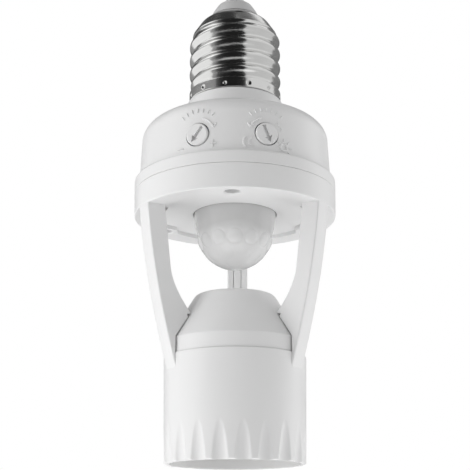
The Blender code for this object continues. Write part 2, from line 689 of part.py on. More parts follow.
def sensor_window(finish):
    low = SENSOR_TOP_Z - SENSOR_HEIGHT
    box("sensor_window", WINDOW_SIZE, (0, 0, low + WINDOW_SIZE[2] / 2), finish)


def dome_lens(finish):
    """Thin milky dome with a short skirt and a flange that lies on the deck."""
    flange_z = DECK_TOP_Z + GAP
    inner = DOME_RADIUS - DOME_WALL
    skirt = LENS_SKIRT_RADIUS - DOME_WALL
    turned("dome_lens", [
        *arc((0.0, DOME_CENTRE_Z), (inner, inner), -90, 0, 7),
        (skirt, DOME_CENTRE_Z + DOME_WALL), (skirt, flange_z + LENS_FLANGE_THICKNESS),
        (LENS_FLANGE_RADIUS, flange_z + LENS_FLANGE_THICKNESS), (LENS_FLANGE_RADIUS, flange_z),
        (LENS_SKIRT_RADIUS, flange_z), (LENS_SKIRT_RADIUS, DOME_CENTRE_Z + DOME_WALL),
        *arc((0.0, DOME_CENTRE_Z), (DOME_RADIUS, DOME_RADIUS), 0, -90, 7),
    ], finish, closed=False)


def lens_retainer(finish):
    """Ring that holds the lens flange down on the deck."""
    low = DECK_TOP_Z + GAP
    under = low + LENS_FLANGE_THICKNESS + GAP
    high = under + RETAINER_HEIGHT
    bore = LENS_FLANGE_RADIUS + GAP
    turned("lens_retainer", [
        (RETAINER_BORE, high), (RETAINER_RADIUS, high), (RETAINER_RADIUS, low), (bore, low),
        (bore, under), (RETAINER_BORE, under),
    ], finish)


def bevel(obj, width, segments=1):
    step = obj.modifiers.new("edges", "BEVEL")
    step.width = width
    step.segments = segments
    step.limit_method = "ANGLE"
    step.angle_limit = math.radians(40.0)


def cover_radius(height):
    """Outer radius of the socket cover's cone."""
    share = (height - COVER_CONE_Z) / (COVER_TOP_Z - COVER_EDGE - COVER_CONE_Z)
    return COVER_BAND_RADIUS + (COVER_TOP_RADIUS - COVER_BAND_RADIUS) * share


def sleeve_radius(height):
    return SLEEVE_MOUTH_RADIUS + (SLEEVE_TOP_RADIUS - SLEEVE_MOUTH_RADIUS) * height / SLEEVE_TOP_Z


def between(low, high, handle):
    """A point whose radius is given as a share of the way from low to high."""
    share, height = handle
    return Vector((low + (high - low) * share, height))


def inner_edge(shift, top_z=RIM_BOTTOM_Z):
    """Inner edge of an arm from its crotch on the cover up to the rim, moved outward by shift."""
    crotch = Vector((cover_radius(ARM_CROTCH_Z) + ARM_CROTCH_GAP, ARM_CROTCH_Z))
    handles = (between(crotch.x, ARM_TOP_INNER, handle)
               for handle in (ARM_CROTCH_HANDLE, ARM_WAIST_HANDLE, ARM_WAIST))
    curve = interpolate_bezier(crotch, *handles, 9)
    waist = curve[-1]
    top = waist.lerp(Vector((ARM_TOP_INNER, RIM_BOTTOM_Z)), (top_z - waist.y) / (RIM_BOTTOM_Z - waist.y))
    return [(point.x + shift, point.y) for point in (*curve, top)]


def arm_outline():
    """Side view of an arm: outer edge down to the sleeve, then the inner edge back up."""
    top = Vector((ARM_TOP_OUTER, RIM_BOTTOM_Z))
    foot = Vector((sleeve_radius(ARM_FOOT_Z), ARM_FOOT_Z))
    handles = (between(foot.x, top.x, handle) for handle in (ARM_OUTER_HANDLE, ARM_FOOT_HANDLE))
    outer = interpolate_bezier(top, *handles, foot, 11)
    root = SLEEVE_BORE_RADIUS + SLEEVE_WALL
    seat = COVER_BAND_RADIUS + GAP
    return [
        (ARM_TOP_INNER, ARM_ROOT_Z), (ARM_TOP_OUTER, ARM_ROOT_Z),
        *[(point.x, point.y) for point in outer],
        (root, ARM_FOOT_Z), (root, SLEEVE_TOP_Z - GAP), (seat, SLEEVE_TOP_Z - GAP),
        (seat, COVER_CONE_Z), *inner_edge(0.0),
    ]


def channel_outline():
    """The wire channel in an arm's inner face, open to the housing above and to the cover below."""
    end = cover_radius(CHANNEL_END_Z)
    outer = [(end + CHANNEL_DEPTH, CHANNEL_END_Z), *inner_edge(CHANNEL_DEPTH)]
    outer += [(ARM_TOP_INNER + CHANNEL_DEPTH, CHANNEL_TOP_Z), (CHANNEL_INNER, CHANNEL_TOP_Z)]
    inner = [(end - ARM_WIDTH / 2, CHANNEL_END_Z), *inner_edge(-ARM_WIDTH / 2)]
    return [*outer, (CHANNEL_INNER, DECK_BOTTOM_Z - GAP), *reversed(inner)]


def upright(name, outline, thickness, azimuth, finish=None):
    """An outline of (radius, height) points stood up in the plane of an azimuth."""
    piece = plate(name, outline, thickness, finish)
    piece.matrix_world = radial_plane(azimuth)
    return piece


def arm_cover(name, azimuth, finish):
    """Strip that closes the mouth of an arm's channel."""
    face, back = (inner_edge(shift, RIM_BOTTOM_Z - GAP)[1:] for shift in (0.0, STRIP_THICKNESS))
    upright(name, [*face, *reversed(back)], CHANNEL_WIDTH - 2 * GAP, azimuth, finish)


def socket_sleeve():
    """The sleeve as a turned tube with a ledge for the socket base inside."""
    ledge_top = LEDGE_Z + LEDGE_THICKNESS
    lip = (SLEEVE_MOUTH_RADIUS - SLEEVE_LIP, SLEEVE_LIP)
    return turned("socket_sleeve", [
        (SLEEVE_BORE_RADIUS, SLEEVE_TOP_Z), (SLEEVE_TOP_RADIUS, SLEEVE_TOP_Z),
        *arc(lip, (SLEEVE_LIP, SLEEVE_LIP), 0, -90, 3),
        (SLEEVE_BORE_RADIUS, 0.0), (SLEEVE_BORE_RADIUS, LEDGE_Z), (LEDGE_BORE_RADIUS, LEDGE_Z),
        (LEDGE_BORE_RADIUS, ledge_top), (SLEEVE_BORE_RADIUS, ledge_top),
    ], steps=ROUND_LARGE)


def flute_cutters():
    """Leaning elliptical cylinders that scoop flutes with pointed tops out of the sleeve."""
    flutes = []
    centre = SLEEVE_MOUTH_RADIUS - FLUTE_DEPTH + FLUTE_SECTION_DEPTH
    lean = math.atan2(sleeve_radius(FLUTE_HEIGHT) + FLUTE_SECTION_DEPTH - centre, FLUTE_HEIGHT)
    for i in range(FLUTE_COUNT):
        bm = bmesh.new()
        bmesh.ops.create_cone(bm, cap_ends=True, segments=ROUND_TINY, radius1=1.0, radius2=1.0, depth=2.0)
        size = Matrix.Diagonal((FLUTE_HALF_WIDTH, FLUTE_SECTION_DEPTH, 1.5 * FLUTE_HEIGHT, 1.0))
        bmesh.ops.transform(bm, matrix=size, verts=bm.verts)
        flute = add_object("flute", mesh_from("flute", bm))
        stand = Matrix.Rotation(math.radians(FLUTE_PHASE + 360.0 * i / FLUTE_COUNT), 4, "Z")
        tilt = Matrix.Rotation(lean, 4, "X")
        flute.matrix_world = stand @ Matrix.Translation((0.0, -centre, 0.0)) @ tilt
        flutes.append(flute)
    return group("flutes", flutes)


def wire_slot(side):
    """Arc-shaped wire opening in the deck, behind a side arm."""
    angles = [WIRE_SLOT_START + WIRE_SLOT_SPAN * i / 5 for i in range(6)]
    outer = [around(side * angle, RIM_INNER_RADIUS - GAP) for angle in angles]
    inner = [around(side * angle, WIRE_SLOT_INNER) for angle in reversed(angles)]
    slot = plate("wire_slot", [(point.x, point.y) for point in [*outer, *inner]], 4 * DECK_THICKNESS)
    slot.location.z = DECK_BOTTOM_Z
    return slot


def rim_ring(finish):
    """Rim, lip and deck as one turned ring."""
    edge = (RIM_RADIUS - RIM_EDGE, RIM_BOTTOM_Z + RIM_EDGE)
    return turned("lower_frame", [
        (RIM_BORE_RADIUS, LIP_TOP_Z), (LIP_OUTER_RADIUS, LIP_TOP_Z), (LIP_OUTER_RADIUS, RIM_TOP_Z),
        (FLANGE_RADIUS, RIM_TOP_Z), *arc(edge, (RIM_EDGE, RIM_EDGE), 0, -90, 2),
        (RIM_INNER_RADIUS, RIM_BOTTOM_Z), (RIM_INNER_RADIUS, DECK_BOTTOM_Z),
        (LENS_HOLE_RADIUS, DECK_BOTTOM_Z), (LENS_HOLE_RADIUS, DECK_TOP_Z), (RIM_BORE_RADIUS, DECK_TOP_Z),
    ], finish, ROUND_LARGE)


def lower_frame(finish):
    """Rim, deck, three channelled arms and the fluted sleeve in one moulding."""
    frame = rim_ring(finish)
    arms, channels, bosses, bores = [], [], [], []
    for azimuth in ARM_AZIMUTHS.values():
        arms.append(upright("arm", arm_outline(), ARM_WIDTH, azimuth))
        channels.append(upright("channel", channel_outline(), CHANNEL_WIDTH, azimuth))

    def upright_rod(store, azimuth, circle, radius, low, high, sides=ROUND_TINY):
        store.append(rod("rod", radius, around(azimuth, circle, low), around(azimuth, circle, high),
                         sides=sides))

    head, shank = SCREW_HEAD_RADIUS + GAP, SCREW_SHANK_RADIUS + GAP
    seat_z = SCREW_HEAD_TOP_Z + GAP
    recess_z = FRAME_BOSS_TOP_Z - GAP
    recesses = []
    for azimuth in SCREW_AZIMUTHS.values():
        upright_rod(bosses, azimuth, SCREW_CIRCLE, BOSS_RADIUS, RIM_BOTTOM_Z, FRAME_BOSS_TOP_Z, ROUND_SMALL)
        upright_rod(bores, azimuth, SCREW_CIRCLE, head, RIM_BOTTOM_Z - GAP, seat_z)
        upright_rod(recesses, azimuth, SCREW_CIRCLE, HOUSING_BOSS_RADIUS + GAP, recess_z, LIP_TOP_Z + GAP)
    shanks = []
    for azimuth in SCREW_AZIMUTHS.values():
        upright_rod(shanks, azimuth, SCREW_CIRCLE, shank, seat_z - GAP, recess_z + GAP, 12)
    posts, pegs = [], []
    for azimuth in POST_AZIMUTHS:
        upright_rod(posts, azimuth, POST_CIRCLE, POST_RADIUS, DECK_TOP_Z - GAP, BOARD_Z - GAP)
        upright_rod(pegs, azimuth, POST_CIRCLE, PEG_RADIUS, DECK_TOP_Z, BOARD_TOP_Z, 12)
    join(frame, group("arms", arms), socket_sleeve(), group("frame_bosses", bosses))
    join(frame, group("posts", posts), group("pegs", pegs))
    cut(frame, group("channels", channels), group("head_bores", bores), group("boss_recesses", recesses))
    cut(frame, group("shank_bores", shanks), group("slots", [wire_slot(-1), wire_slot(1)]), flute_cutters())
    return frame


def socket_cover(finish):
    """Coned cap over the socket, plugged into the sleeve, with a wire hole below each side arm."""
    edge = (COVER_TOP_RADIUS - COVER_EDGE, COVER_TOP_Z - COVER_EDGE)
    plug_z = BASE_TOP_Z + GAP
    ceiling = COVER_TOP_Z - COVER_WALL
    cover = turned("socket_cover", [
        (0.0, COVER_TOP_Z), *arc(edge, (COVER_EDGE, COVER_EDGE), 90, 0, 3),
        (COVER_BAND_RADIUS, COVER_CONE_Z), (COVER_BAND_RADIUS, COVER_BAND_Z),
        (COVER_PLUG_RADIUS, COVER_BAND_Z), (COVER_PLUG_RADIUS, plug_z), (COVER_PLUG_BORE, plug_z),
        (COVER_THROAT, COVER_CONE_Z), (COVER_CEILING, ceiling), (0.0, ceiling),
    ], finish, ROUND_LARGE, closed=False)
    holes = []
    for azimuth in (ARM_AZIMUTHS["left"], ARM_AZIMUTHS["right"]):
        ends = [around(azimuth, radius, WIRE_HOLE_Z) for radius in (COVER_CEILING, COVER_BAND_RADIUS)]
        holes.append(rod("wire_hole", WIRE_HOLE_RADIUS, *ends, sides=ROUND_TINY))
    cut(cover, group("wire_holes", holes))


def lamp_shell(finish):
    """Threaded shell that takes the lamp, with a flat top that the socket base holds."""
    thread_top = LAMP_SHELL_BOTTOM_Z + LAMP_SHELL_TURNS * CAP_THREAD_PITCH
    outer = LAMP_THREAD_MAJOR + LAMP_SHELL_SHEET
    plate_z = LAMP_SHELL_TOP_Z - LAMP_SHELL_SHEET
    rows = thread_rows(LAMP_THREAD_MAJOR, LAMP_SHELL_BOTTOM_Z, thread_top)
    shell = turned("lamp_shell", [
        (LAMP_SHELL_HOLE_RADIUS, LAMP_SHELL_TOP_Z), (outer, LAMP_SHELL_TOP_Z),
        (outer, LAMP_SHELL_BOTTOM_Z), *reversed(rows), (LAMP_THREAD_MAJOR, plate_z),
        (LAMP_SHELL_HOLE_RADIUS, plate_z),
    ], finish, steps=2 * ROUND_TINY)
    roll_thread(shell, LAMP_THREAD_MAJOR, LAMP_THREAD_MINOR, LAMP_SHELL_BOTTOM_Z, thread_top, run_out=0)


def socket_base(finish):
    """Insulating disc with a boss that carries the contact leaf."""
    boss = LAMP_SHELL_HOLE_RADIUS - GAP
    base = turned("socket_base", [
        (0.0, BASE_TOP_Z), (BASE_RADIUS, BASE_TOP_Z), (BASE_RADIUS, BASE_Z), (boss, BASE_Z),
        (boss, BASE_BOSS_Z), (0.0, BASE_BOSS_Z),
    ], finish, closed=False)
    cut(base, rod("base_hole", RIVET_RADIUS + GAP, (RIVET_X, 0, BASE_BOSS_Z - GAP),
                  (RIVET_X, 0, BASE_TOP_Z + GAP), sides=12))


def contact_leaf(finish):
    """Sprung centre contact; its origin is on the bend it flexes about."""
    middle = LEAF_Z - LEAF_THICKNESS / 2
    path = [(LEAF_ROOT_X - LEAF_BEND_X, 0.0), (0.0, 0.0), (LEAF_TIP_X - LEAF_BEND_X, -LEAF_DROP)]
    half = LEAF_THICKNESS / 2
    outline = [(x, z + half) for x, z in path] + [(x, z - half) for x, z in reversed(path)]
    leaf = plate("contact_leaf", outline, LEAF_WIDTH, finish)
    place = radial_plane(90.0)
    place.translation = (LEAF_BEND_X, 0.0, middle)
    leaf.matrix_world = place
    cut(leaf, rod("leaf_hole", RIVET_RADIUS + GAP, (RIVET_X, 0, LEAF_Z - 2 * LEAF_THICKNESS),
                  (RIVET_X, 0, BASE_Z), sides=12))


def contact_rivet(finish):
    """Rivet through the leaf and the base, with a head at each end."""
    low = LEAF_Z - LEAF_THICKNESS - GAP
    high = BASE_TOP_Z + GAP
    rivet = turned("contact_rivet", [
        (0.0, high + RIVET_HEAD_HEIGHT), (RIVET_HEAD_RADIUS, high + RIVET_HEAD_HEIGHT),
        (RIVET_HEAD_RADIUS, high), (RIVET_RADIUS, high), (RIVET_RADIUS, low), (RIVET_HEAD_RADIUS, low),
        (RIVET_HEAD_RADIUS, low - RIVET_HEAD_HEIGHT), (0.0, low - RIVET_HEAD_HEIGHT),
    ], finish, ROUND_TINY, closed=False)
    rivet.location.x = RIVET_X


def housing_screw(name, azimuth, finish):
    """Cross-head screw that holds the frame to the housing from below."""
    low = SCREW_HEAD_TOP_Z - SCREW_HEAD_HEIGHT
    edge = SCREW_HEAD_HEIGHT / 4
    screw = turned(name, [
        (0.0, SCREW_TOP_Z), (SCREW_SHANK_RADIUS / 2, SCREW_TOP_Z),
        (SCREW_SHANK_RADIUS, SCREW_TOP_Z - SCREW_SHANK_RADIUS), (SCREW_SHANK_RADIUS, SCREW_HEAD_TOP_Z),
        (SCREW_HEAD_RADIUS, SCREW_HEAD_TOP_Z), (SCREW_HEAD_RADIUS, low + edge),
        (SCREW_HEAD_RADIUS - edge, low), (0.0, low),
    ], finish, ROUND_TINY, closed=False)
    axis = around(azimuth, SCREW_CIRCLE)
    screw.location = axis
    for turn in (azimuth, azimuth + 90.0):
        cut(screw, box(name + "_recess", SCREW_RECESS, axis + Vector((0, 0, low)), turn=turn))


def cap_leads(live, neutral):
    """Leads from the board up the neck to the cap's contact and to its shell."""
    top = [(0.0, 0.0, INSULATOR_Z - INSULATOR_PLUG_DEPTH - GAP), (0.0, 0.0, CONTACT_Z - GAP)]
    for name, path, end, finish in (
            ("cap_live_lead", LIVE_LEAD, top, live), ("cap_neutral_lead", NEUTRAL_LEAD, [], neutral)):
        points = [(path[0][0], CAP_LEAD_Y, PARTS_Z)] + [(x, CAP_LEAD_Y, z) for x, z in path] + end
        lead(name, points, finish)


def lamp_lead(name, azimuth, finish):
    """Lead from the board through the rim, down an arm's channel and into the cover."""
    down = list(reversed(inner_edge(ARM_LEAD_DEPTH)[1:]))
    start = [(RIM_INNER_RADIUS + outward, height) for outward, height in BOARD_TO_ARM]
    path = [*start, *down, *ARM_TO_BASE]
    lead(name, [around(azimuth, radius, height) for radius, height in path], finish)


def build():
    clear_scene()
    white = material("white_plastic", (0.86, 0.86, 0.85), 0.38)
    milky = material("milky_plastic", (0.90, 0.90, 0.88), 0.30)
    plated = material("plated_metal", (0.78, 0.78, 0.76), 0.25, 1.0)
    brass = material("brass", (0.78, 0.62, 0.32), 0.30, 1.0)
    dark = material("dark_insulator", (0.05, 0.05, 0.05), 0.45)
    beige = material("socket_base_resin", (0.72, 0.68, 0.60), 0.60)
    grey = material("cap_insulator_resin", (0.70, 0.70, 0.69), 0.45)
    board = material("board_laminate", (0.62, 0.52, 0.30), 0.60)
    blue = material("blue_plastic", (0.10, 0.22, 0.48), 0.45)
    window = material("dark_window", (0.08, 0.07, 0.07), 0.15)
    red = material("red_lead", (0.55, 0.06, 0.05), 0.45)
    black = material("black_lead", (0.04, 0.04, 0.04), 0.45)

    cap_shell(plated)
    cap_insulator(grey)
    cap_contact(plated)
    upper_housing(white)
    for name, side, angle in (("delay", -1, DELAY_DIAL_ANGLE), ("light", 1, LIGHT_DIAL_ANGLE)):
        dial(name + "_dial", side, angle, white)
        trimmer(name + "_trimmer", side, blue)
    circuit_board(board)
    board_block("relay", RELAY_SIZE, RELAY_PLACE, 0.0005, blue)
    board_block("dropper_capacitor", DROPPER_SIZE, DROPPER_PLACE, 0.0010, brass)
    smoothing_capacitor(dark)
    control_chip(dark)
    fuse_resistor(beige)
    pir_sensor(plated)
    sensor_window(window)
    dome_lens(milky)
    lens_retainer(white)
    lower_frame(white)
    for name, azimuth in ARM_AZIMUTHS.items():
        arm_cover("arm_cover_" + name, azimuth, white)
    socket_cover(white)
    lamp_shell(plated)
    socket_base(beige)
    contact_leaf(brass)
    contact_rivet(brass)
    for name, azimuth in SCREW_AZIMUTHS.items():
        housing_screw("housing_screw_" + name, azimuth, plated)
    cap_leads(red, black)
    lamp_lead("lamp_live_lead", ARM_AZIMUTHS["left"], red)
    lamp_lead("lamp_neutral_lead", ARM_AZIMUTHS["right"], black)


build()
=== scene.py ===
import math

import bmesh
import bpy
from mathutils import Matrix, Vector
from mathutils.geometry import interpolate_bezier


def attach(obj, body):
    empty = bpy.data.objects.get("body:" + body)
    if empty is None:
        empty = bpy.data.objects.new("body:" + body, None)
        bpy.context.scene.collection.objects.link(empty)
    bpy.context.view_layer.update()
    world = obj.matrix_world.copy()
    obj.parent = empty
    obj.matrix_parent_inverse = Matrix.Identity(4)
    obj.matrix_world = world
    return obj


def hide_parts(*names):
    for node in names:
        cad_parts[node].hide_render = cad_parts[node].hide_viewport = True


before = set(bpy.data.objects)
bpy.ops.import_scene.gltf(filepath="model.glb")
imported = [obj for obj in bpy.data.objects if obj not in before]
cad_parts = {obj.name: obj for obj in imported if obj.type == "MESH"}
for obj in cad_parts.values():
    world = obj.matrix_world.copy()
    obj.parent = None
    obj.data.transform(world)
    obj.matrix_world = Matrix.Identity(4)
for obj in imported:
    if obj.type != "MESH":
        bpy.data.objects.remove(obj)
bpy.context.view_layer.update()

# Millimetres, as in the CAD source, up from the lamp's mouth. Azimuths are degrees from the front towards +X.
MM = 0.001
GAP, SEAM = 0.3, 0.08      # clearance of the solids, and the narrower one that shows

# Screw cap, its insulator and its contact
CAP_BOTTOM, SKIRT_TOP, THREAD_TOP, CONE_TOP, NOSE_TOP = 102.0, 105.6, 123.435, 126.935, 129.135
CAP_SKIRT, CAP_MAJOR, CAP_MINOR, CAP_BORE, PITCH, CREST = 13.15, 13.2, 12.25, 11.85, 4.35, 1.15
CONE_R, NOSE_R, SHEET = 10.0, 7.3, 0.5
DIMPLES, DIMPLE_AZIMUTH, DIMPLE_RISE, DIMPLE_R, DIMPLE_DEPTH = 12, 19.0, 1.35, 0.62, 0.42
INSULATOR_Z, INSULATOR_TOP, INSULATOR_TOP_R, INSULATOR_EDGE = 129.435, 133.535, 4.8, 0.4
INSULATOR_RINGS, RING_DEPTH, INSULATOR_BULGE, PLUG_R, PLUG_LENGTH = 12, 0.05, 0.15, 5.9, 1.6
CONTACT_Z, CONTACT_TOP, CONTACT_R = 133.835, 135.035, 3.2

# Upper housing: neck in the cap, collar, throat, shoulder, wall, and the rebate that takes the lower frame
NECK_BORE, NECK_R, NECK_TOP, COLLAR_TOP, COLLAR_TOP_R = 9.6, 11.55, THREAD_TOP - 1.0, 101.7, 13.6
COLLAR_FOOT, COLLAR_FOOT_R, THROAT_AXIS_R, THROAT_R = 97.9, 14.4, 17.2, 2.8
SHOULDER_AXIS_R, SHOULDER, SHOULDER_INSIDE, ROOF_Z, ROOF_R = 20.36, (6.0, 5.4), (4.0, 3.4), 93.1, 14.4
WALL_FOOT, WALL_FOOT_R, WALL_TOP, WALL_TOP_R = 77.8, 26.9, 89.4, 26.36
REBATE_TOP, REBATE_R, INSIDE_FOOT_R, INSIDE_TOP_R = 76.25, 26.2, 24.97, 24.36
BOSS_R, BOSS_TOP, PILOT_R, PILOT_FOOT, PILOT_TOP = 2.35, 83.85, 1.4, 73.0, 81.0

# Dials, and the marks round them on the wall
DIAL_Z, DIAL_AZIMUTH, DIAL_SHOWN_R, DIAL_PROUD, DIAL_DEPTH = 83.0, 20.0, 3.05, 0.5, 4.858
DIAL_THICK, DIAL_STEM_R, DIAL_HOLE_GAP, DIAL_HOLE_DEPTH_R = 1.4, 1.6, 0.27, 22.0
MARK_SUNK, MARK_RISE, THIN_MARK, MARK_ARC_R = -0.12, 0.3, 0.42, 4.7
MOON, MOON_R, MOON_RISE = (-4.1, -2.6), 1.2, 0.2
SUN, SUN_R, SUN_RAYS, SUN_RAY = (4.8, -3.2), 1.0, 8, (1.6, 2.4)
TICKS, TICK_START, TICK_STEP, TICK = 7, -39, 13, (6.3, 7.4)

# Rim and deck of the lower frame, and what the three housing screws need
RIM_BOTTOM, RIM_TOP, RIM_R, FLANGE_R, RIM_INNER = 67.4, 74.15, 28.05, 28.2, 22.2
LIP_TOP, LIP_R, LIP_INNER = 75.95, 25.9, 24.6
DECK_BOTTOM, DECK_TOP, LENS_HOLE = 68.5, 70.2, 11.65
SCREW_CIRCLE, SCREW_AZIMUTHS = 23.9, {"front": 0.0, "right": 120.0, "left": 240.0}
PAD_R, PAD_TOP, SEAT_R, SEAT_Z, SEAT_TOP = 3.6, 73.85, 2.65, 73.55, 76.5
RECESS_R, RECESS_FOOT, RECESS_TOP, COUNTERSINK, CLEARANCE_R, CLEARANCE_TOP = 2.0, 66.0, 71.0, 0.5, 1.4, 74.5
POST_R, POST_CIRCLE, POST_TOP, POST_AZIMUTHS = 1.8, 18.8, 73.9, (30, 150, 210, 330)
VENT_START, VENT_SPAN, VENT_INNER_R, VENT_STEPS = 66.0, 27.0, 19.6, 18

# Arms with their channels and strips
ARM_AZIMUTHS = {"left": -60.0, "right": 60.0, "back": 180.0}
ARM_WIDTH, CHANNEL_WIDTH, CHANNEL_DEPTH, CHANNEL_INSET, STRIP = 5.8, 2.8, 3.3, 2.9, 0.9
ARM_TOP, ARM_TOP_R, ARM_FOOT, ARM_ROOT_R, ARM_COVER_R = 69.2, 28.13, 24.0, 18.0, 19.15
OUTER_TOP_R, OUTER_PULL = 28.0, ((26.6, 52.9), (23.4, 38.5))
CROTCH, INNER_PULL, KNEE, KNEE_R, INNER_TOP_R = 38.6, ((17.6, 42.0), (20.3, 46.0)), 50.5, 20.9, 22.9
CHANNEL_FOOT, CHANNEL_TOP, CHANNEL_TOP_R, NOTCH_Z, NOTCH_R = 35.8, 71.6, 22.5, 38.0, 0.42

# Sleeve with its flutes, and the socket cover
SLEEVE_TOP, SLEEVE_TOP_R, MOUTH_R, MOUTH_EDGE, SLEEVE_BORE = 28.0, 19.2, 18.7, 0.4, 17.2
SHELF_Z, SHELF_TOP, SHELF_R = 22.0, 23.6, 14.8
FLUTES, FLUTE_AZIMUTH, FLUTE_TOP, FLUTE_RUN, FLUTE_DEPTH = 20, 8.2, 13.0, 10.0, 1.05
FLUTE_R, FLUTE_REACH, FLUTE_BLEND, FLUTED_FROM_R = 1.7, 2.35, 0.05, 17.5
COVER_BAND_R, COVER_CONE, COVER_TOP, COVER_TOP_R, COVER_EDGE, COVER_SEAM = 18.85, 32.1, 45.2, 10.8, 1.1, 0.04
SPIGOT_Z, SPIGOT_R, SPIGOT_INNER_R = 27.6, 16.9, 16.0
COVER_INNER_R, COVER_ROOF, COVER_ROOF_R = 16.6, 43.6, 9.6
LEAD_HOLE_R, LEAD_HOLE_Z, LEAD_AZIMUTHS = 1.2, 37.0, (-60.0, 60.0)

# Lens: dome, neck and flange, and its rings of small lenses as elevation, count, first azimuth and rise
DOME_R, DOME_Z, DOME_WALL, LENS_SKIRT, LENS_BORE = 10.66, 63.44, 0.7, 11.42, 10.4
LENS_FLANGE_Z, LENS_FLANGE_TOP, LENS_FLANGE_R = 70.5, 71.3, 13.5
CELL_RINGS = ((-20.0, 13, 1.8, 0.32), (-47.0, 10, 18.0, 0.08), (-70.0, 5, 0.0, 0.05))
POLE_RISE, CELL_ANGLE, CELL_INSET, GROOVE, GROOVE_WIDTH = 0.05, 0.205, 0.2, 0.24, 0.12

# Housing screws and the lamp's threaded shell
HEAD_Z, HEAD_TOP, HEAD_R, SHANK_R, SHANK_TOP, POINT_Z, POINT_R = 69.5, 70.7, 1.7, 1.1, 79.6, 80.7, 0.5
SCREW_PITCH, SCREW_GROOVE, CROSS = 0.9, 0.22, (2.2, 0.5, 1.4)
SHELL_Z, SHELL_THREAD_TOP, SHELL_FLOOR, SHELL_TOP = 6.2, 20.34, 23.1, 23.6
SHELL_THREAD_R, SHELL_GROOVE, SHELL_R, SHELL_HOLE_R = 13.45, 1.1, 13.95, 6.6


# Shapes

def around(azimuth, radius, height=0.0):
    a = math.radians(azimuth)
    return Vector((radius * math.sin(a), -radius * math.cos(a), height))


def arc(centre, radii, start, end, count):
    angles = [math.radians(start + (end - start) * i / count) for i in range(count + 1)]
    return [(centre[0] + radii[0] * math.cos(a), centre[1] + radii[1] * math.sin(a)) for a in angles]


def column(radius, start, end, count):
    """Points along one radius, close enough together to carry a thread."""
    return [(radius, start + (end - start) * i / count) for i in range(count + 1)]


def from_nearest(angle, count):
    """An angle as seen from the nearest of count even places round the axis."""
    step = math.tau / count
    return (angle + step / 2) % step - step / 2


def rounded(corners, closed=True, steps=4):
    """Turns (radius, height, rounding) corners into points, with each corner rounded off."""
    points = []
    count = len(corners)
    for i, corner in enumerate(corners):
        here = Vector(corner[:2])
        size = corner[2] if len(corner) > 2 else 0.0
        if size <= 0.0 or (not closed and i in (0, count - 1)):
            points.append(tuple(here))
            continue
        before = Vector(corners[i - 1][:2]) - here
        after = Vector(corners[(i + 1) % count][:2]) - here
        turn = math.pi - before.angle(after)
        reach = min(size * math.tan(turn / 2), 0.45 * before.length, 0.45 * after.length)
        first, last = here + before.normalized() * reach, here + after.normalized() * reach
        points.append(tuple(first + before.normalized() * 0.1 * reach))
        for k in range(steps + 1):
            t = k / steps
            points.append(tuple(first * (1 - t) ** 2 + here * 2 * t * (1 - t) + last * t * t))
        points.append(tuple(last + after.normalized() * 0.1 * reach))
    return points


def split(points, step, low, high):
    """Adds points so that no run between two heights is longer than step."""
    out = [points[0]]
    for a, b in zip(points, points[1:]):
        length = math.dist(a[:2], b[:2])
        inside = low <= min(a[1], b[1]) and max(a[1], b[1]) <= high
        count = max(1, math.ceil(length / step)) if inside else 1
        out += [tuple(a[k] + (b[k] - a[k]) * i / count for k in (0, 1)) for i in range(1, count + 1)]
    return out


def lathe(profile, steps, closed=True, warp=None):
    """A turned mesh; warp(azimuth in radians from +X, radius, height) may move its points."""
    bm = bmesh.new()
    rows = []
    for radius, height in profile:
        row = []
        for k in range(steps if radius > 1e-6 else 1):
            a = math.tau * k / steps
            r, z = warp(a, radius, height) if warp and radius > 1e-6 else (radius, height)
            row.append(bm.verts.new((r * math.cos(a) * MM, r * math.sin(a) * MM, z * MM)))
        rows.append(row)
    pairs = list(zip(rows, rows[1:] + rows[:1] if closed else rows[1:]))
    for upper, lower in pairs:
        for k in range(steps):
            n = (k + 1) % steps
            if len(upper) == 1 and len(lower) == 1:
                break
            if len(upper) == 1:
                bm.faces.new((upper[0], lower[k], lower[n]))
            elif len(lower) == 1:
                bm.faces.new((upper[k], lower[0], upper[n]))
            else:
                bm.faces.new((upper[k], lower[k], lower[n], upper[n]))
    bmesh.ops.recalc_face_normals(bm, faces=bm.faces)
    return bm


def sketch(points, thickness, strips=1, bevel=0.0):
    """A flat (x, y) outline given a thickness along z in strips, with its two rims bevelled."""
    bm = bmesh.new()
    layers = []
    for s in range(strips + 1):
        z = thickness * (s / strips - 0.5)
        layers.append([bm.verts.new((x * MM, y * MM, z * MM)) for x, y in points])
    count = len(points)
    for low, high in zip(layers, layers[1:]):
        for k in range(count):
            n = (k + 1) % count
            bm.faces.new((low[k], low[n], high[n], high[k]))
    caps = [bm.faces.new(list(reversed(layers[0]))), bm.faces.new(layers[-1])]
    bmesh.ops.recalc_face_normals(bm, faces=bm.faces)
    if bevel:
        edges = {edge for cap in caps for edge in cap.edges}
        bmesh.ops.bevel(bm, geom=list(edges), offset=bevel * MM, segments=3, profile=0.5,
                        affect="EDGES", clamp_overlap=True)
    return bm


def rod(radius, low, high, sides=48, bevel=0.0):
    """A cylinder between two points in millimetres."""
    low, high = Vector(low), Vector(high)
    bm = bmesh.new()
    bmesh.ops.create_cone(bm, cap_ends=True, segments=sides, radius1=radius * MM, radius2=radius * MM,
                          depth=(high - low).length * MM)
    if bevel:
        rims = [e for e in bm.edges if abs(e.verts[0].co.z - e.verts[1].co.z) < 1e-9]
        bmesh.ops.bevel(bm, geom=rims, offset=bevel * MM, segments=3, profile=0.5, affect="EDGES")
    place = (high - low).to_track_quat("Z", "Y").to_matrix().to_4x4()
    place.translation = (low + high) / 2 * MM
    bmesh.ops.transform(bm, matrix=place, verts=bm.verts)
    return bm


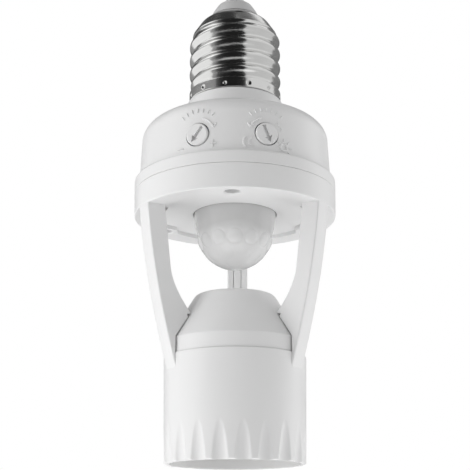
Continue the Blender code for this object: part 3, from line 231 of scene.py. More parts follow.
def merged(*parts):
    """Several meshes as one."""
    whole = bmesh.new()
    for part in parts:
        mesh = bpy.data.meshes.new("part")
        part.to_mesh(mesh)
        part.free()
        whole.from_mesh(mesh)
        bpy.data.meshes.remove(mesh)
    return whole


def plain(name, bm):
    mesh = bpy.data.meshes.new(name)
    bm.to_mesh(mesh)
    bm.free()
    obj = bpy.data.objects.new(name, mesh)
    bpy.context.scene.collection.objects.link(obj)
    return obj


def carved(name, bm, *steps):
    """Applies (operation, mesh) steps one after the other to a base mesh."""
    base = plain(name, bm)
    tools = []
    for index, (operation, tool) in enumerate(steps):
        cutter = plain(f"{name}_tool{index}", tool)
        tools.append(cutter)
        modifier = base.modifiers.new(str(index), "BOOLEAN")
        modifier.operation = operation
        modifier.object = cutter
        modifier.solver = "EXACT"
    bpy.context.view_layer.update()
    mesh = bpy.data.meshes.new_from_object(base.evaluated_get(bpy.context.evaluated_depsgraph_get()))
    base.modifiers.clear()
    old = base.data
    base.data = mesh
    bpy.data.meshes.remove(old)
    for cutter in tools:
        data = cutter.data
        bpy.data.objects.remove(cutter, do_unlink=True)
        bpy.data.meshes.remove(data)
    return base


def dress(obj, finish, body, *nodes, slot, angle):
    """Gives a piece its finish and body, and says which CAD nodes it stands for."""
    obj.data.materials.clear()
    obj.data.materials.append(finish)
    obj.data.shade_smooth()
    obj.data.set_sharp_from_angle(angle=math.radians(angle))
    normals = obj.modifiers.new("even_normals", "WEIGHTED_NORMAL")
    normals.keep_sharp = True
    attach(obj, body)
    if nodes:
        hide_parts(*nodes)


def radial_plane(azimuth):
    """Local x out along the azimuth, y up, z across."""
    outward, up = around(azimuth, 1.0), Vector((0.0, 0.0, 1.0))
    return Matrix((outward, up, outward.cross(up))).transposed().to_4x4()


def turned_to(bm, azimuth):
    """Stands a flat outline up, facing an azimuth."""
    bmesh.ops.transform(bm, matrix=radial_plane(azimuth), verts=bm.verts)
    return bm


def at_screws(radius, low, high, sides=48, bevel=0.0):
    """The same upright rod at each housing screw."""
    return merged(*[rod(radius, around(a, SCREW_CIRCLE, low), around(a, SCREW_CIRCLE, high), sides, bevel)
                    for a in SCREW_AZIMUTHS.values()])


# Materials

def nodes_of(name):
    made = bpy.data.materials.new(name)
    made.use_nodes = True
    tree = made.node_tree
    return made, tree, tree.nodes["Principled BSDF"]


def noise(tree, scale, detail=3.0, stretch=(1.0, 1.0, 1.0)):
    where = tree.nodes.new("ShaderNodeTexCoord")
    mapping = tree.nodes.new("ShaderNodeMapping")
    mapping.inputs["Scale"].default_value = stretch
    texture = tree.nodes.new("ShaderNodeTexNoise")
    texture.inputs["Scale"].default_value = scale
    texture.inputs["Detail"].default_value = detail
    tree.links.new(where.outputs["Object"], mapping.inputs["Vector"])
    tree.links.new(mapping.outputs["Vector"], texture.inputs["Vector"])
    return texture.outputs["Fac"]


def ramp(tree, value, low, high, start=0.3, end=0.7):
    """Maps a value between two numbers or two colours."""
    if isinstance(low, (int, float)):
        mapped = tree.nodes.new("ShaderNodeMapRange")
        mapped.inputs["From Min"].default_value = start
        mapped.inputs["From Max"].default_value = end
        mapped.inputs["To Min"].default_value = low
        mapped.inputs["To Max"].default_value = high
        tree.links.new(value, mapped.inputs["Value"])
        return mapped.outputs["Result"]
    band = tree.nodes.new("ShaderNodeValToRGB")
    band.color_ramp.elements[0].position = start
    band.color_ramp.elements[1].position = end
    band.color_ramp.elements[0].color = (*low, 1.0)
    band.color_ramp.elements[1].color = (*high, 1.0)
    tree.links.new(value, band.inputs["Fac"])
    return band.outputs["Color"]


def bump(tree, shader, height, strength, distance):
    node = tree.nodes.new("ShaderNodeBump")
    node.inputs["Strength"].default_value = strength
    node.inputs["Distance"].default_value = distance * MM
    tree.links.new(height, node.inputs["Height"])
    tree.links.new(node.outputs["Normal"], shader.inputs["Normal"])


def plastic(name, colour, roughness, grain=900.0, strength=0.12):
    """Moulded plastic: faint cloudiness in colour and gloss, and the fine grain of the mould."""
    made, tree, shader = nodes_of(name)
    cloud = noise(tree, 60.0)
    low = tuple(c * 0.985 for c in colour)
    tree.links.new(ramp(tree, cloud, low, colour), shader.inputs["Base Color"])
    tree.links.new(ramp(tree, noise(tree, 140.0), roughness - 0.04, roughness + 0.05),
                   shader.inputs["Roughness"])
    bump(tree, shader, noise(tree, grain, 5.0), strength, 0.02)
    shader.inputs["IOR"].default_value = 1.49
    return made


def lens_plastic_with_painted_shade(name):
    """Thin milky plastic. Painted shade darkens its colour towards its brim, for the dark housing seen
    through it there, and painted light makes it a little lighter towards its pole.
    """
    # Where the painted shade at the brim begins and is full, and its tone; where the painted light at the
    # pole is full and fades out, and its tone.
    brim_from, brim_full, brim_painted_shade_tone = 64.6 * MM, 67.2 * MM, 0.80
    pole_from, pole_to, pole_painted_light_tone = 52.5 * MM, 61.0 * MM, 1.05
    made = plastic(name, (0.76, 0.76, 0.76), 0.10, grain=1500.0, strength=0.02)
    tree = made.node_tree
    shader = tree.nodes["Principled BSDF"]
    cloud = shader.inputs["Base Color"].links[0].from_socket
    where = tree.nodes.new("ShaderNodeTexCoord")
    parts = tree.nodes.new("ShaderNodeSeparateXYZ")
    tree.links.new(where.outputs["Object"], parts.inputs["Vector"])
    # Painted shade: the colour darkens towards the brim, and noise makes the band's edge uneven.
    wobble = tree.nodes.new("ShaderNodeMath")
    wobble.operation = "MULTIPLY_ADD"
    wobble.inputs[1].default_value = 6.0 * MM
    tree.links.new(noise(tree, 90.0), wobble.inputs[0])
    tree.links.new(parts.outputs["Z"], wobble.inputs[2])
    depth = ramp(tree, wobble.outputs["Value"], 1.0, brim_painted_shade_tone, brim_from, brim_full)
    # Painted light: the colour is made a little lighter towards the pole.
    below = tree.nodes.new("ShaderNodeMath")
    below.operation = "MULTIPLY"
    tree.links.new(depth, below.inputs[0])
    tree.links.new(ramp(tree, parts.outputs["Z"], pole_painted_light_tone, 1.0, pole_from, pole_to), below.inputs[1])
    shade = tree.nodes.new("ShaderNodeVectorMath")
    shade.operation = "SCALE"
    tree.links.new(cloud, shade.inputs["Vector"])
    tree.links.new(below.outputs["Value"], shade.inputs["Scale"])
    tree.links.new(shade.outputs["Vector"], shader.inputs["Base Color"])
    return made


def metal(name, colour, roughness, streak=(1.0, 1.0, 1.0), scale=500.0, strength=0.05):
    """Plated or rolled metal: faint streaks in gloss and height."""
    made, tree, shader = nodes_of(name)
    lines = noise(tree, scale, 4.0, streak)
    low = tuple(c * 0.93 for c in colour)
    tree.links.new(ramp(tree, noise(tree, 80.0), low, colour), shader.inputs["Base Color"])
    tree.links.new(ramp(tree, lines, max(roughness - 0.03, 0.02), roughness + 0.05),
                   shader.inputs["Roughness"])
    bump(tree, shader, lines, strength, 0.02)
    shader.inputs["Metallic"].default_value = 1.0
    return made


WHITE = plastic("white_moulding", (0.80, 0.80, 0.80), 0.36)
INNER_WHITE = plastic("white_inner", (0.78, 0.78, 0.77), 0.42)
MILKY = lens_plastic_with_painted_shade("milky_lens_painted_shade")
CAP_RESIN = plastic("cap_resin", (0.60, 0.60, 0.60), 0.42, grain=1200.0, strength=0.2)
PLATED = metal("plated_sheet", (0.82, 0.82, 0.81), 0.16, (1.0, 1.0, 12.0), 260.0, 0.03)
SHELL_METAL = metal("shell_sheet", (0.74, 0.74, 0.72), 0.24, (1.0, 1.0, 9.0), 300.0)
# Steel screws. Their colour is darker than bare steel as painted shade for the deep recesses they sit in.
SCREW_METAL_AND_PAINTED_SHADE = metal("screw_steel_painted_shade", (0.36, 0.36, 0.37), 0.32)
BRASS = metal("leaf_brass", (0.79, 0.62, 0.31), 0.28, (8.0, 1.0, 1.0))
BASE_RESIN = plastic("base_resin", (0.70, 0.66, 0.58), 0.58, grain=700.0, strength=0.3)
DARK = plastic("dark_resin", (0.05, 0.05, 0.05), 0.4)
BLUE = plastic("blue_casing", (0.08, 0.20, 0.46), 0.42)
LAMINATE = plastic("board_laminate", (0.50, 0.40, 0.20), 0.55, grain=300.0, strength=0.3)
FILM = plastic("capacitor_dip", (0.55, 0.22, 0.06), 0.35, grain=200.0, strength=0.4)
WINDOW = plastic("filter_window", (0.05, 0.04, 0.05), 0.12)
RED = plastic("red_insulation", (0.50, 0.04, 0.03), 0.42)
BLACK = plastic("black_insulation", (0.03, 0.03, 0.03), 0.42)


# Screw cap

def thread_wave(azimuth, height, low, high):
    """A right-hand round thread: its depth at a point, 0 to 1, and the part of it left near both ends."""
    wave = 0.5 - 0.5 * math.cos(math.tau * (height / PITCH - azimuth / math.tau))
    ends = min(max(min(height - low, high - height) / (PITCH / 2), 0.0), 1.0)
    return wave, ends


def cap_surface(azimuth, radius, height):
    """The thread between the skirt and the cone, and round dimples in the skirt."""
    if SKIRT_TOP - 0.01 < height < THREAD_TOP + 0.01 and radius >= CAP_BORE + 0.2:
        wave, ends = thread_wave(azimuth, height, SKIRT_TOP, THREAD_TOP)
        radius = CAP_MAJOR - (CAP_MAJOR - CAP_MINOR) * (1.0 + (wave ** CREST - 1.0) * ends)
    if radius > CAP_SKIRT - 0.6 and CAP_BOTTOM < height < SKIRT_TOP:
        offset = from_nearest(azimuth + math.pi / 2 - math.radians(DIMPLE_AZIMUTH), DIMPLES)
        away = math.hypot(offset * CAP_SKIRT, height - CAP_BOTTOM - DIMPLE_RISE) / DIMPLE_R
        if away < 1.0:
            radius -= DIMPLE_DEPTH * (1.0 - away * away)
    return radius, height


def make_cap():
    outer = rounded([
        (NOSE_R - SHEET, NOSE_TOP - SHEET, 0.0), (NOSE_R - SHEET, NOSE_TOP, 0.15), (NOSE_R, NOSE_TOP, 0.3),
        (CONE_R, CONE_TOP, 4.0), (CAP_MINOR, THREAD_TOP, 0.4)], closed=False)
    skirt = rounded([(CAP_MINOR, SKIRT_TOP, 0.0), (CAP_SKIRT, SKIRT_TOP - 0.5, 0.4),
                     (CAP_SKIRT, CAP_BOTTOM + 0.12, 0.25), (CAP_BORE, CAP_BOTTOM, 0.0)], closed=False)
    skirt = split(skirt, 0.16, CAP_BOTTOM + 0.3, SKIRT_TOP)
    profile = [*outer[:-1], *column(CAP_MINOR, THREAD_TOP, SKIRT_TOP, 130), *skirt[1:],
               (CAP_BORE, THREAD_TOP), (CONE_R - SHEET, CONE_TOP - SHEET)]
    dress(plain("cap_shell_fine", lathe(profile, 384, True, cap_surface)), PLATED, "holder", "cap_shell",
          slot="plated_metal", angle=60.0)

    foot_z = NOSE_TOP + SEAM
    rings = []
    for i in range(1, INSULATOR_RINGS + 1):
        t = i / INSULATOR_RINGS
        radius = INSULATOR_TOP_R + (NOSE_R - INSULATOR_TOP_R) * t + INSULATOR_BULGE * math.sin(math.pi * t)
        rings.append((radius - (RING_DEPTH if i % 2 else 0.0), INSULATOR_TOP + (foot_z - INSULATOR_TOP) * t))
    edge, foot = INSULATOR_EDGE, INSULATOR_Z - PLUG_LENGTH
    top = arc((INSULATOR_TOP_R - edge, INSULATOR_TOP - edge), (edge, edge), 90, 20, 4)
    profile = [(1.0, INSULATOR_TOP), *top, *rings, (PLUG_R, foot_z), (PLUG_R, foot), (1.0, foot)]
    dress(plain("cap_insulator_fine", lathe(profile, 160)), CAP_RESIN, "holder", "cap_insulator",
          slot="cap_insulator_resin", angle=25.0)

    edge = 0.6 * (CONTACT_TOP - CONTACT_Z)
    profile = [(0.0, CONTACT_TOP), *arc((CONTACT_R - edge, CONTACT_TOP - edge), (edge, edge), 90, 0, 10),
               (CONTACT_R, CONTACT_Z + 0.15), (CONTACT_R - 0.15, CONTACT_Z), (0.0, CONTACT_Z)]
    dress(plain("cap_contact_fine", lathe(profile, 128, False)), PLATED, "holder", "cap_contact",
          slot="plated_metal", angle=50.0)


# Upper housing

def wall_radius(height):
    return WALL_FOOT_R + (WALL_TOP_R - WALL_FOOT_R) * (height - WALL_FOOT) / (WALL_TOP - WALL_FOOT)


def on_wall(azimuth, x, y, out):
    """A point x to the onlooker's right of an azimuth and y above the dials, out from the wall."""
    height = DIAL_Z + y
    radius = wall_radius(height)
    return around(azimuth + math.degrees(x / radius), radius + out, height) * MM


def raised_line(azimuth, points, width=0.62):
    """A raised moulded stroke on the wall along (x, y) points, round at both ends."""
    bm = bmesh.new()
    sections = []
    count = len(points)
    for i, (x, y) in enumerate(points):
        before, after = points[max(i - 1, 0)], points[min(i + 1, count - 1)]
        way = Vector((after[0] - before[0], after[1] - before[1])).normalized()
        side = Vector((-way.y, way.x))
        taper = 0.55 if i in (0, count - 1) else 1.0
        ring = []
        for across, out in ((-0.5, MARK_SUNK), (-0.42, 0.6 * MARK_RISE), (-0.2, MARK_RISE), (0.2, MARK_RISE),
                            (0.42, 0.6 * MARK_RISE), (0.5, MARK_SUNK)):
            shift = side * across * width * taper
            ring.append(bm.verts.new(on_wall(azimuth, x + shift.x, y + shift.y, out)))
        sections.append(ring)
    for first, second in zip(sections, sections[1:]):
        for k in range(6):
            n = (k + 1) % 6
            bm.faces.new((first[k], first[n], second[n], second[k]))
    bm.faces.new(list(reversed(sections[0])))
    bm.faces.new(sections[-1])
    bmesh.ops.recalc_face_normals(bm, faces=bm.faces)
    return bm


def curve_points(start, end, radius, centre=(0.0, 0.0), count=14):
    """Points on an arc, angles in degrees clockwise from straight up."""
    out = []
    for i in range(count + 1):
        a = math.radians(start + (end - start) * i / count)
        out.append((centre[0] + radius * math.sin(a), centre[1] + radius * math.cos(a)))
    return out


def spoke(angle, radii, centre=(0.0, 0.0)):
    """The two ends of a stroke away from a centre, its angle clockwise from straight up."""
    return [(centre[0] + r * math.sin(angle), centre[1] + r * math.cos(angle)) for r in radii]


def crescent(azimuth, centre, radius):
    """A small raised moon."""
    outer = curve_points(20, -200, radius, centre, 16)
    inner = curve_points(-170, -10, radius * 0.78, (centre[0] + radius * 0.32, centre[1]), 16)
    outline = outer + inner[1:-1]
    bm = bmesh.new()
    low = [bm.verts.new(on_wall(azimuth, x, y, MARK_SUNK)) for x, y in outline]
    high = [bm.verts.new(on_wall(azimuth, x, y, MOON_RISE)) for x, y in outline]
    count = len(low)
    for k in range(count):
        n = (k + 1) % count
        bm.faces.new((low[k], low[n], high[n], high[k]))
    bm.faces.new(high)
    bm.faces.new(list(reversed(low)))
    bmesh.ops.recalc_face_normals(bm, faces=bm.faces)
    return bm


def make_marks():
    """Ticks above both dials, arrow, plus and minus round the left one, arrows, moon and sun at the right."""
    left, right = -DIAL_AZIMUTH, DIAL_AZIMUTH
    strokes = [
        (left, curve_points(16, 66, MARK_ARC_R)), (left, [(3.6, 2.6), (4.4, 1.7), (5.1, 2.7)]),
        (left, [(3.4, -2.9), (5.4, -2.9)]), (left, [(4.4, -3.9), (4.4, -1.9)]),
        (left, [(-5.8, -3.4), (-4.0, -3.4)]),
        (right, curve_points(-66, -16, MARK_ARC_R)), (right, [(-5.1, 2.7), (-4.4, 1.7), (-3.6, 2.6)]),
        (right, curve_points(40, 72, MARK_ARC_R)),
    ]
    marks = [raised_line(azimuth, points) for azimuth, points in strokes]
    marks += [crescent(right, MOON, MOON_R), raised_line(right, curve_points(228, 312, 2.3, (-4.0, -2.6)))]
    marks.append(raised_line(right, curve_points(0, 350, SUN_R, SUN, 20)))
    for k in range(SUN_RAYS):
        marks.append(raised_line(right, spoke(math.tau * k / SUN_RAYS, SUN_RAY, SUN), THIN_MARK))
    for azimuth in (left, right):
        for k in range(TICKS):
            tick = spoke(math.radians(TICK_START + TICK_STEP * k), TICK)
            marks.append(raised_line(azimuth, tick, THIN_MARK))
    dress(plain("dial_symbols", merged(*marks)), WHITE, "holder", slot="white_plastic", angle=30.0)


def make_housing():
    profile = rounded([
        (NECK_BORE, NECK_TOP, 0.3), (NECK_R, NECK_TOP, 0.3), (NECK_R, COLLAR_TOP, 0.0),
        (COLLAR_TOP_R, COLLAR_TOP, 0.25), (COLLAR_FOOT_R, COLLAR_FOOT, 0.0)], closed=False)
    profile += arc((THROAT_AXIS_R, COLLAR_FOOT), (THROAT_R, THROAT_R), 186, 262, 12)
    profile += arc((SHOULDER_AXIS_R, WALL_TOP), SHOULDER, 90, 2, 24)
    profile += rounded([
        (WALL_TOP_R, WALL_TOP, 0.0), (WALL_FOOT_R, WALL_FOOT, 0.25), (FLANGE_R, WALL_FOOT, 0.75),
        (FLANGE_R, RIM_TOP + SEAM, 0.12), (REBATE_R, RIM_TOP + SEAM, 0.1), (REBATE_R, REBATE_TOP, 0.0),
        (INSIDE_FOOT_R, REBATE_TOP, 0.0), (INSIDE_TOP_R, WALL_TOP, 0.0)], closed=False)[1:]
    profile += arc((SHOULDER_AXIS_R, WALL_TOP), SHOULDER_INSIDE, 10, 90, 8)
    profile += [(ROOF_R, ROOF_Z), (NECK_BORE, COLLAR_FOOT)]
    hole_r = DIAL_SHOWN_R + DIAL_HOLE_GAP
    holes = [rod(hole_r, around(a, DIAL_HOLE_DEPTH_R, DIAL_Z), around(a, FLANGE_R, DIAL_Z), 96)
             for a in (-DIAL_AZIMUTH, DIAL_AZIMUTH)]
    housing = carved("upper_housing_fine", lathe(profile, 256),
                     ("UNION", at_screws(BOSS_R, PAD_TOP, BOSS_TOP)),
                     ("DIFFERENCE", merged(at_screws(PILOT_R, PILOT_FOOT, PILOT_TOP, 24), *holes)))
    dress(housing, WHITE, "holder", "upper_housing", slot="white_plastic", angle=32.0)


def make_dial(name, side, angle):
    """Dial with a rounded rim and a sunk arrow, in the place of its node."""
    profile = rounded([
        (0.0, 0.0), (DIAL_SHOWN_R, 0.0, 0.4), (DIAL_SHOWN_R, -DIAL_THICK, 0.1),
        (DIAL_STEM_R, -DIAL_THICK, 0.0), (DIAL_STEM_R, -DIAL_DEPTH, 0.1), (0.0, -DIAL_DEPTH)], closed=False)
    half, stem, head, barb, sunk = 2.5, 0.475, 1.1, 0.2, 1.0
    neck = half - 1.54
    arrow = sketch([(-stem, -half), (stem, -half), (stem, neck), (head, neck - barb), (0.0, half),
                    (-head, neck - barb), (-stem, neck)], 2 * sunk)
    dial = carved(name + "_fine", lathe(profile, 96, False), ("DIFFERENCE", arrow))
    azimuth = side * DIAL_AZIMUTH
    outward = around(azimuth, 1.0)
    right = Vector((0.0, 0.0, 1.0)).cross(outward)
    place = Matrix((right, (0.0, 0.0, 1.0), outward)).transposed().to_4x4()
    place.translation = around(azimuth, wall_radius(DIAL_Z) + DIAL_PROUD, DIAL_Z) * MM
    dial.data.transform(place @ Matrix.Rotation(math.radians(-angle), 4, "Z"))
    dress(dial, WHITE, name, name, slot="white_plastic", angle=30.0)


# Lower frame

def cover_radius(height):
    edge = COVER_TOP - COVER_EDGE
    return COVER_BAND_R + (COVER_TOP_R - COVER_BAND_R) * (height - COVER_CONE) / (edge - COVER_CONE)


def sleeve_radius(height):
    return MOUTH_R + (SLEEVE_TOP_R - MOUTH_R) * height / SLEEVE_TOP


def inner_edge(shift):
    """The edge of an arm towards the axis, moved out by a shift."""
    crotch = Vector((cover_radius(CROTCH) + 0.4, CROTCH))
    curve = interpolate_bezier(crotch, *map(Vector, INNER_PULL), Vector((KNEE_R, KNEE)), 17)
    return [(point.x + shift, point.y) for point in (*curve, Vector((INNER_TOP_R, RIM_BOTTOM)))]


def wrapped(bm, azimuth):
    """Bends a stood-up outline about the vertical axis, so that its outer face is round, and turns it."""
    for vertex in bm.verts:
        radius, height, across = vertex.co.x, vertex.co.y, vertex.co.z
        a = math.radians(azimuth) + (across / radius if radius > 1e-6 else 0.0)
        vertex.co = (radius * math.sin(a), -radius * math.cos(a), height)
    bmesh.ops.recalc_face_normals(bm, faces=bm.faces)
    return bm


def arm_outline():
    foot = Vector((sleeve_radius(ARM_FOOT) + 0.02, ARM_FOOT))
    outer = interpolate_bezier(Vector((OUTER_TOP_R, RIM_BOTTOM)), *map(Vector, OUTER_PULL), foot, 25)
    return [(INNER_TOP_R, ARM_TOP), (ARM_TOP_R, ARM_TOP), *[(p.x, p.y) for p in outer],
            (ARM_ROOT_R, ARM_FOOT), (ARM_ROOT_R, SLEEVE_TOP - GAP), (ARM_COVER_R, SLEEVE_TOP - GAP),
            (ARM_COVER_R, COVER_CONE), *inner_edge(0.0)]


def channel_outline():
    foot_r = cover_radius(CHANNEL_FOOT)
    outer = [(foot_r + CHANNEL_DEPTH, CHANNEL_FOOT), *inner_edge(CHANNEL_DEPTH),
             (INNER_TOP_R + CHANNEL_DEPTH, CHANNEL_TOP), (CHANNEL_TOP_R, CHANNEL_TOP)]
    inner = [(foot_r - CHANNEL_INSET, CHANNEL_FOOT), *inner_edge(-CHANNEL_INSET)]
    return [*outer, (CHANNEL_TOP_R, DECK_BOTTOM - GAP), *reversed(inner)]


def fluted(azimuth, radius, height):
    """Scoops flutes with pointed tops out of the sleeve's outer face."""
    if radius < FLUTED_FROM_R or height > FLUTE_TOP:
        return radius, height
    offset = from_nearest(azimuth + math.pi / 2 - math.radians(FLUTE_AZIMUTH), FLUTES)
    rise = sleeve_radius(FLUTE_RUN) + FLUTE_DEPTH - MOUTH_R
    centre = MOUTH_R - FLUTE_DEPTH + FLUTE_R + height * rise / FLUTE_RUN
    across = centre * math.sin(offset) / FLUTE_REACH
    if abs(across) >= 1.0:
        return radius, height
    floor = centre - FLUTE_R * math.sqrt(1.0 - across * across)
    gap = max(FLUTE_BLEND - abs(radius - floor), 0.0) / FLUTE_BLEND
    return min(radius, floor) - gap * gap * FLUTE_BLEND / 4, height


def countersinks():
    """The bevel round each screw recess."""
    low, high = RIM_BOTTOM - 0.1, RIM_BOTTOM + COUNTERSINK - 0.1
    cones = []
    for a in SCREW_AZIMUTHS.values():
        cone = lathe([(RECESS_R + 0.45, low), (RECESS_R - 0.05, high), (0.0, high), (0.0, low)], 48)
        bmesh.ops.translate(cone, vec=around(a, SCREW_CIRCLE) * MM, verts=cone.verts)
        cones.append(cone)
    return merged(*cones)


def vents():
    """A curved slot in the deck on either side."""
    slots = []
    for side in (-1, 1):
        angles = [side * (VENT_START + VENT_SPAN * i / VENT_STEPS) for i in range(VENT_STEPS + 1)]
        outline = [around(a, RIM_INNER - GAP) for a in angles]
        outline += [around(a, VENT_INNER_R) for a in reversed(angles)]
        slot = sketch([(p.x, p.y) for p in outline], 6.0)
        bmesh.ops.translate(slot, vec=(0.0, 0.0, DECK_BOTTOM * MM), verts=slot.verts)
        slots.append(slot)
    return merged(*slots)


def make_rim():
    profile = rounded([
        (LIP_INNER, LIP_TOP, 0.15), (LIP_R, LIP_TOP, 0.15), (LIP_R, RIM_TOP, 0.0), (FLANGE_R, RIM_TOP, 0.12),
        (RIM_R, RIM_BOTTOM, 0.35), (RIM_INNER, RIM_BOTTOM, 0.18), (RIM_INNER, DECK_BOTTOM, 0.12),
        (LENS_HOLE, DECK_BOTTOM, 0.2), (LENS_HOLE, DECK_TOP, 0.0), (LIP_INNER, DECK_TOP, 0.0)])
    posts = [rod(POST_R, around(a, POST_CIRCLE, DECK_TOP - GAP), around(a, POST_CIRCLE, POST_TOP), 32)
             for a in POST_AZIMUTHS]
    cuts = [
        at_screws(RECESS_R, RECESS_FOOT, RECESS_TOP, 60), countersinks(),
        at_screws(CLEARANCE_R, HEAD_TOP, CLEARANCE_TOP, 32), at_screws(SEAT_R, SEAT_Z, SEAT_TOP), vents(),
        merged(*[turned_to(sketch(channel_outline(), CHANNEL_WIDTH), a) for a in ARM_AZIMUTHS.values()]),
    ]
    pads = at_screws(PAD_R, RIM_BOTTOM, PAD_TOP, 64, 0.15)
    rim = carved("lower_frame_rim", lathe(profile, 288), ("UNION", pads), ("UNION", merged(*posts)),
                 *[("DIFFERENCE", cut) for cut in cuts])
    dress(rim, WHITE, "holder", "lower_frame", slot="white_plastic", angle=32.0)


def make_arms():
    """Each arm with its channel, and the strip that covers the channel."""
    for name, azimuth in ARM_AZIMUTHS.items():
        blank = sketch(arm_outline(), ARM_WIDTH, 10, 0.35)
        channel = sketch(channel_outline(), CHANNEL_WIDTH - 0.4)
        middle, reach = Vector((cover_radius(NOTCH_Z) + 0.5, NOTCH_Z, 0.0)), Vector((0.0, 0.0, 4.0))
        notch = rod(NOTCH_R, middle - reach, middle + reach, 20)
        arm = carved("arm_" + name, wrapped(blank, azimuth), ("DIFFERENCE", turned_to(channel, azimuth)),
                     ("DIFFERENCE", turned_to(notch, azimuth)))
        dress(arm, WHITE, "holder", "lower_frame", slot="white_plastic", angle=28.0)

        face, back = (inner_edge(shift)[1:-1] for shift in (0.0, STRIP))
        top = INNER_TOP_R - GAP * (INNER_TOP_R - KNEE_R) / (RIM_BOTTOM - KNEE)
        outline = [*face, (top, RIM_BOTTOM - GAP), (top + STRIP, RIM_BOTTOM - GAP), *reversed(back)]
        strip = plain("arm_cover_" + name + "_fine",
                      turned_to(sketch(outline, CHANNEL_WIDTH - 2 * GAP, 2, 0.2), azimuth))
        dress(strip, WHITE, "holder", "arm_cover_" + name, slot="white_plastic", angle=28.0)


def make_sleeve():
    edge = MOUTH_EDGE
    outer = rounded([
        (SLEEVE_BORE, SLEEVE_TOP, 0.1), (SLEEVE_TOP_R, SLEEVE_TOP, 0.3),
        (sleeve_radius(FLUTE_TOP), FLUTE_TOP, 0.0), (sleeve_radius(edge), edge, 0.0)], closed=False)
    profile = [
        *split(outer, 0.3, 0.3, FLUTE_TOP + 0.1), *arc((MOUTH_R - edge, edge), (edge, edge), -12, -90, 6),
        (SLEEVE_BORE + 0.15, 0.0), (SLEEVE_BORE, 0.15), (SLEEVE_BORE, SHELF_Z), (SHELF_R, SHELF_Z),
        (SHELF_R, SHELF_TOP), (SLEEVE_BORE, SHELF_TOP)]
    sleeve = plain("socket_sleeve", lathe(profile, 480, True, fluted))
    dress(sleeve, WHITE, "holder", "lower_frame", slot="white_plastic", angle=45.0)


def make_cover():
    foot = SLEEVE_TOP + COVER_SEAM
    profile = rounded([
        (0.0, COVER_TOP), (COVER_TOP_R, COVER_TOP, 1.9), (COVER_BAND_R, COVER_CONE, 0.4),
        (COVER_BAND_R, foot, 0.06), (SPIGOT_R, foot, 0.0), (SPIGOT_R, SPIGOT_Z, 0.1),
        (SPIGOT_INNER_R, SPIGOT_Z, 0.1), (COVER_INNER_R, COVER_CONE, 0.0), (COVER_ROOF_R, COVER_ROOF, 0.3),
        (0.0, COVER_ROOF)], closed=False, steps=6)
    holes = [rod(LEAD_HOLE_R, around(a, COVER_ROOF_R, LEAD_HOLE_Z), around(a, COVER_BAND_R, LEAD_HOLE_Z), 32)
             for a in LEAD_AZIMUTHS]
    cover = carved("socket_cover_fine", lathe(profile, 256, False), ("DIFFERENCE", merged(*holes)))
    dress(cover, WHITE, "holder", "socket_cover", slot="white_plastic", angle=28.0)


# Lens

def lens_cells():
    """Directions of the small lenses and how far they rise: one at the pole, then the rings."""
    cells = [(Vector((0.0, 0.0, -1.0)), POLE_RISE)]
    for elevation, count, start, rise in CELL_RINGS:
        e = math.radians(elevation)
        for k in range(count):
            cells.append((around(start + 360.0 * k / count, math.cos(e), math.sin(e)), rise))
    return cells


CELLS = lens_cells()


def faceted(azimuth, radius, height):
    """Raises each small lens a little, with a fine groove around it."""
    if height > DOME_Z - 0.2:
        return radius, height
    way = Vector((radius * math.cos(azimuth), radius * math.sin(azimuth), height - DOME_Z))
    length = way.length
    if length < DOME_R - 0.3:
        return radius, height
    way.normalize()
    lift = 0.0
    for cell, rise in CELLS:
        near = way.dot(cell)
        if near > 0.96:
            away = math.acos(min(near, 1.0)) / CELL_ANGLE
            lift = max(lift, rise * (1.0 - away ** 2)) if away < 1.0 else lift
            lift -= GROOVE * rise * math.exp(-((away - 1.0) / GROOVE_WIDTH) ** 2)
    scale = (length - CELL_INSET + lift) / length
    return radius * scale, DOME_Z + (height - DOME_Z) * scale


def make_lens():
    inner = DOME_R - DOME_WALL
    profile = [
        (0.0, DOME_Z - inner), *arc((0.0, DOME_Z), (inner, inner), -86, 0, 20),
        (LENS_BORE, 64.2), (LENS_BORE, LENS_FLANGE_TOP), (LENS_FLANGE_R, LENS_FLANGE_TOP),
        (LENS_FLANGE_R, LENS_FLANGE_Z), (LENS_SKIRT, LENS_FLANGE_Z), (LENS_SKIRT, 68.2),
        (11.2, 66.4), (10.95, 64.6), *arc((0.0, DOME_Z), (DOME_R, DOME_R), -2, -90, 110)[:-1],
        (0.0, DOME_Z - DOME_R)]
    dress(plain("dome_lens_fine", lathe(profile, 320, False, faceted)), MILKY, "holder", "dome_lens",
          slot="milky_plastic", angle=50.0)


# Screws and lamp socket

def screw_end(azimuth, radius, height):
    """Sets the end of the shank in by a varying depth, as where a thread runs out."""
    if abs(height - SHANK_TOP) > 0.01:
        return radius, height
    return radius - SCREW_GROOVE * abs(2 * ((height / SCREW_PITCH - azimuth / math.tau) % 1.0) - 1.0), height


def make_screws():
    profile = rounded([
        (0.0, POINT_Z), (POINT_R, POINT_Z, 0.0), (SHANK_R, SHANK_TOP, 0.0), (SHANK_R, HEAD_TOP, 0.0),
        (HEAD_R, HEAD_TOP, 0.1), (HEAD_R, HEAD_Z, 0.5), (0.0, HEAD_Z)], closed=False)
    for name, azimuth in SCREW_AZIMUTHS.items():
        cross = []
        for turn in (0.0, 90.0):
            bm = bmesh.new()
            bmesh.ops.create_cube(bm, size=MM, matrix=Matrix.Rotation(math.radians(azimuth + turn), 4, "Z") @
                                  Matrix.Diagonal((*CROSS, 1.0)))
            bmesh.ops.translate(bm, vec=(0.0, 0.0, HEAD_Z * MM), verts=bm.verts)
            cross.append(("DIFFERENCE", bm))
        screw = carved("housing_screw_" + name + "_fine", lathe(profile, 32, False, screw_end), *cross)
        screw.data.transform(Matrix.Translation(around(azimuth, SCREW_CIRCLE) * MM))
        dress(screw, SCREW_METAL_AND_PAINTED_SHADE, "holder", "housing_screw_" + name, slot="plated_metal", angle=35.0)


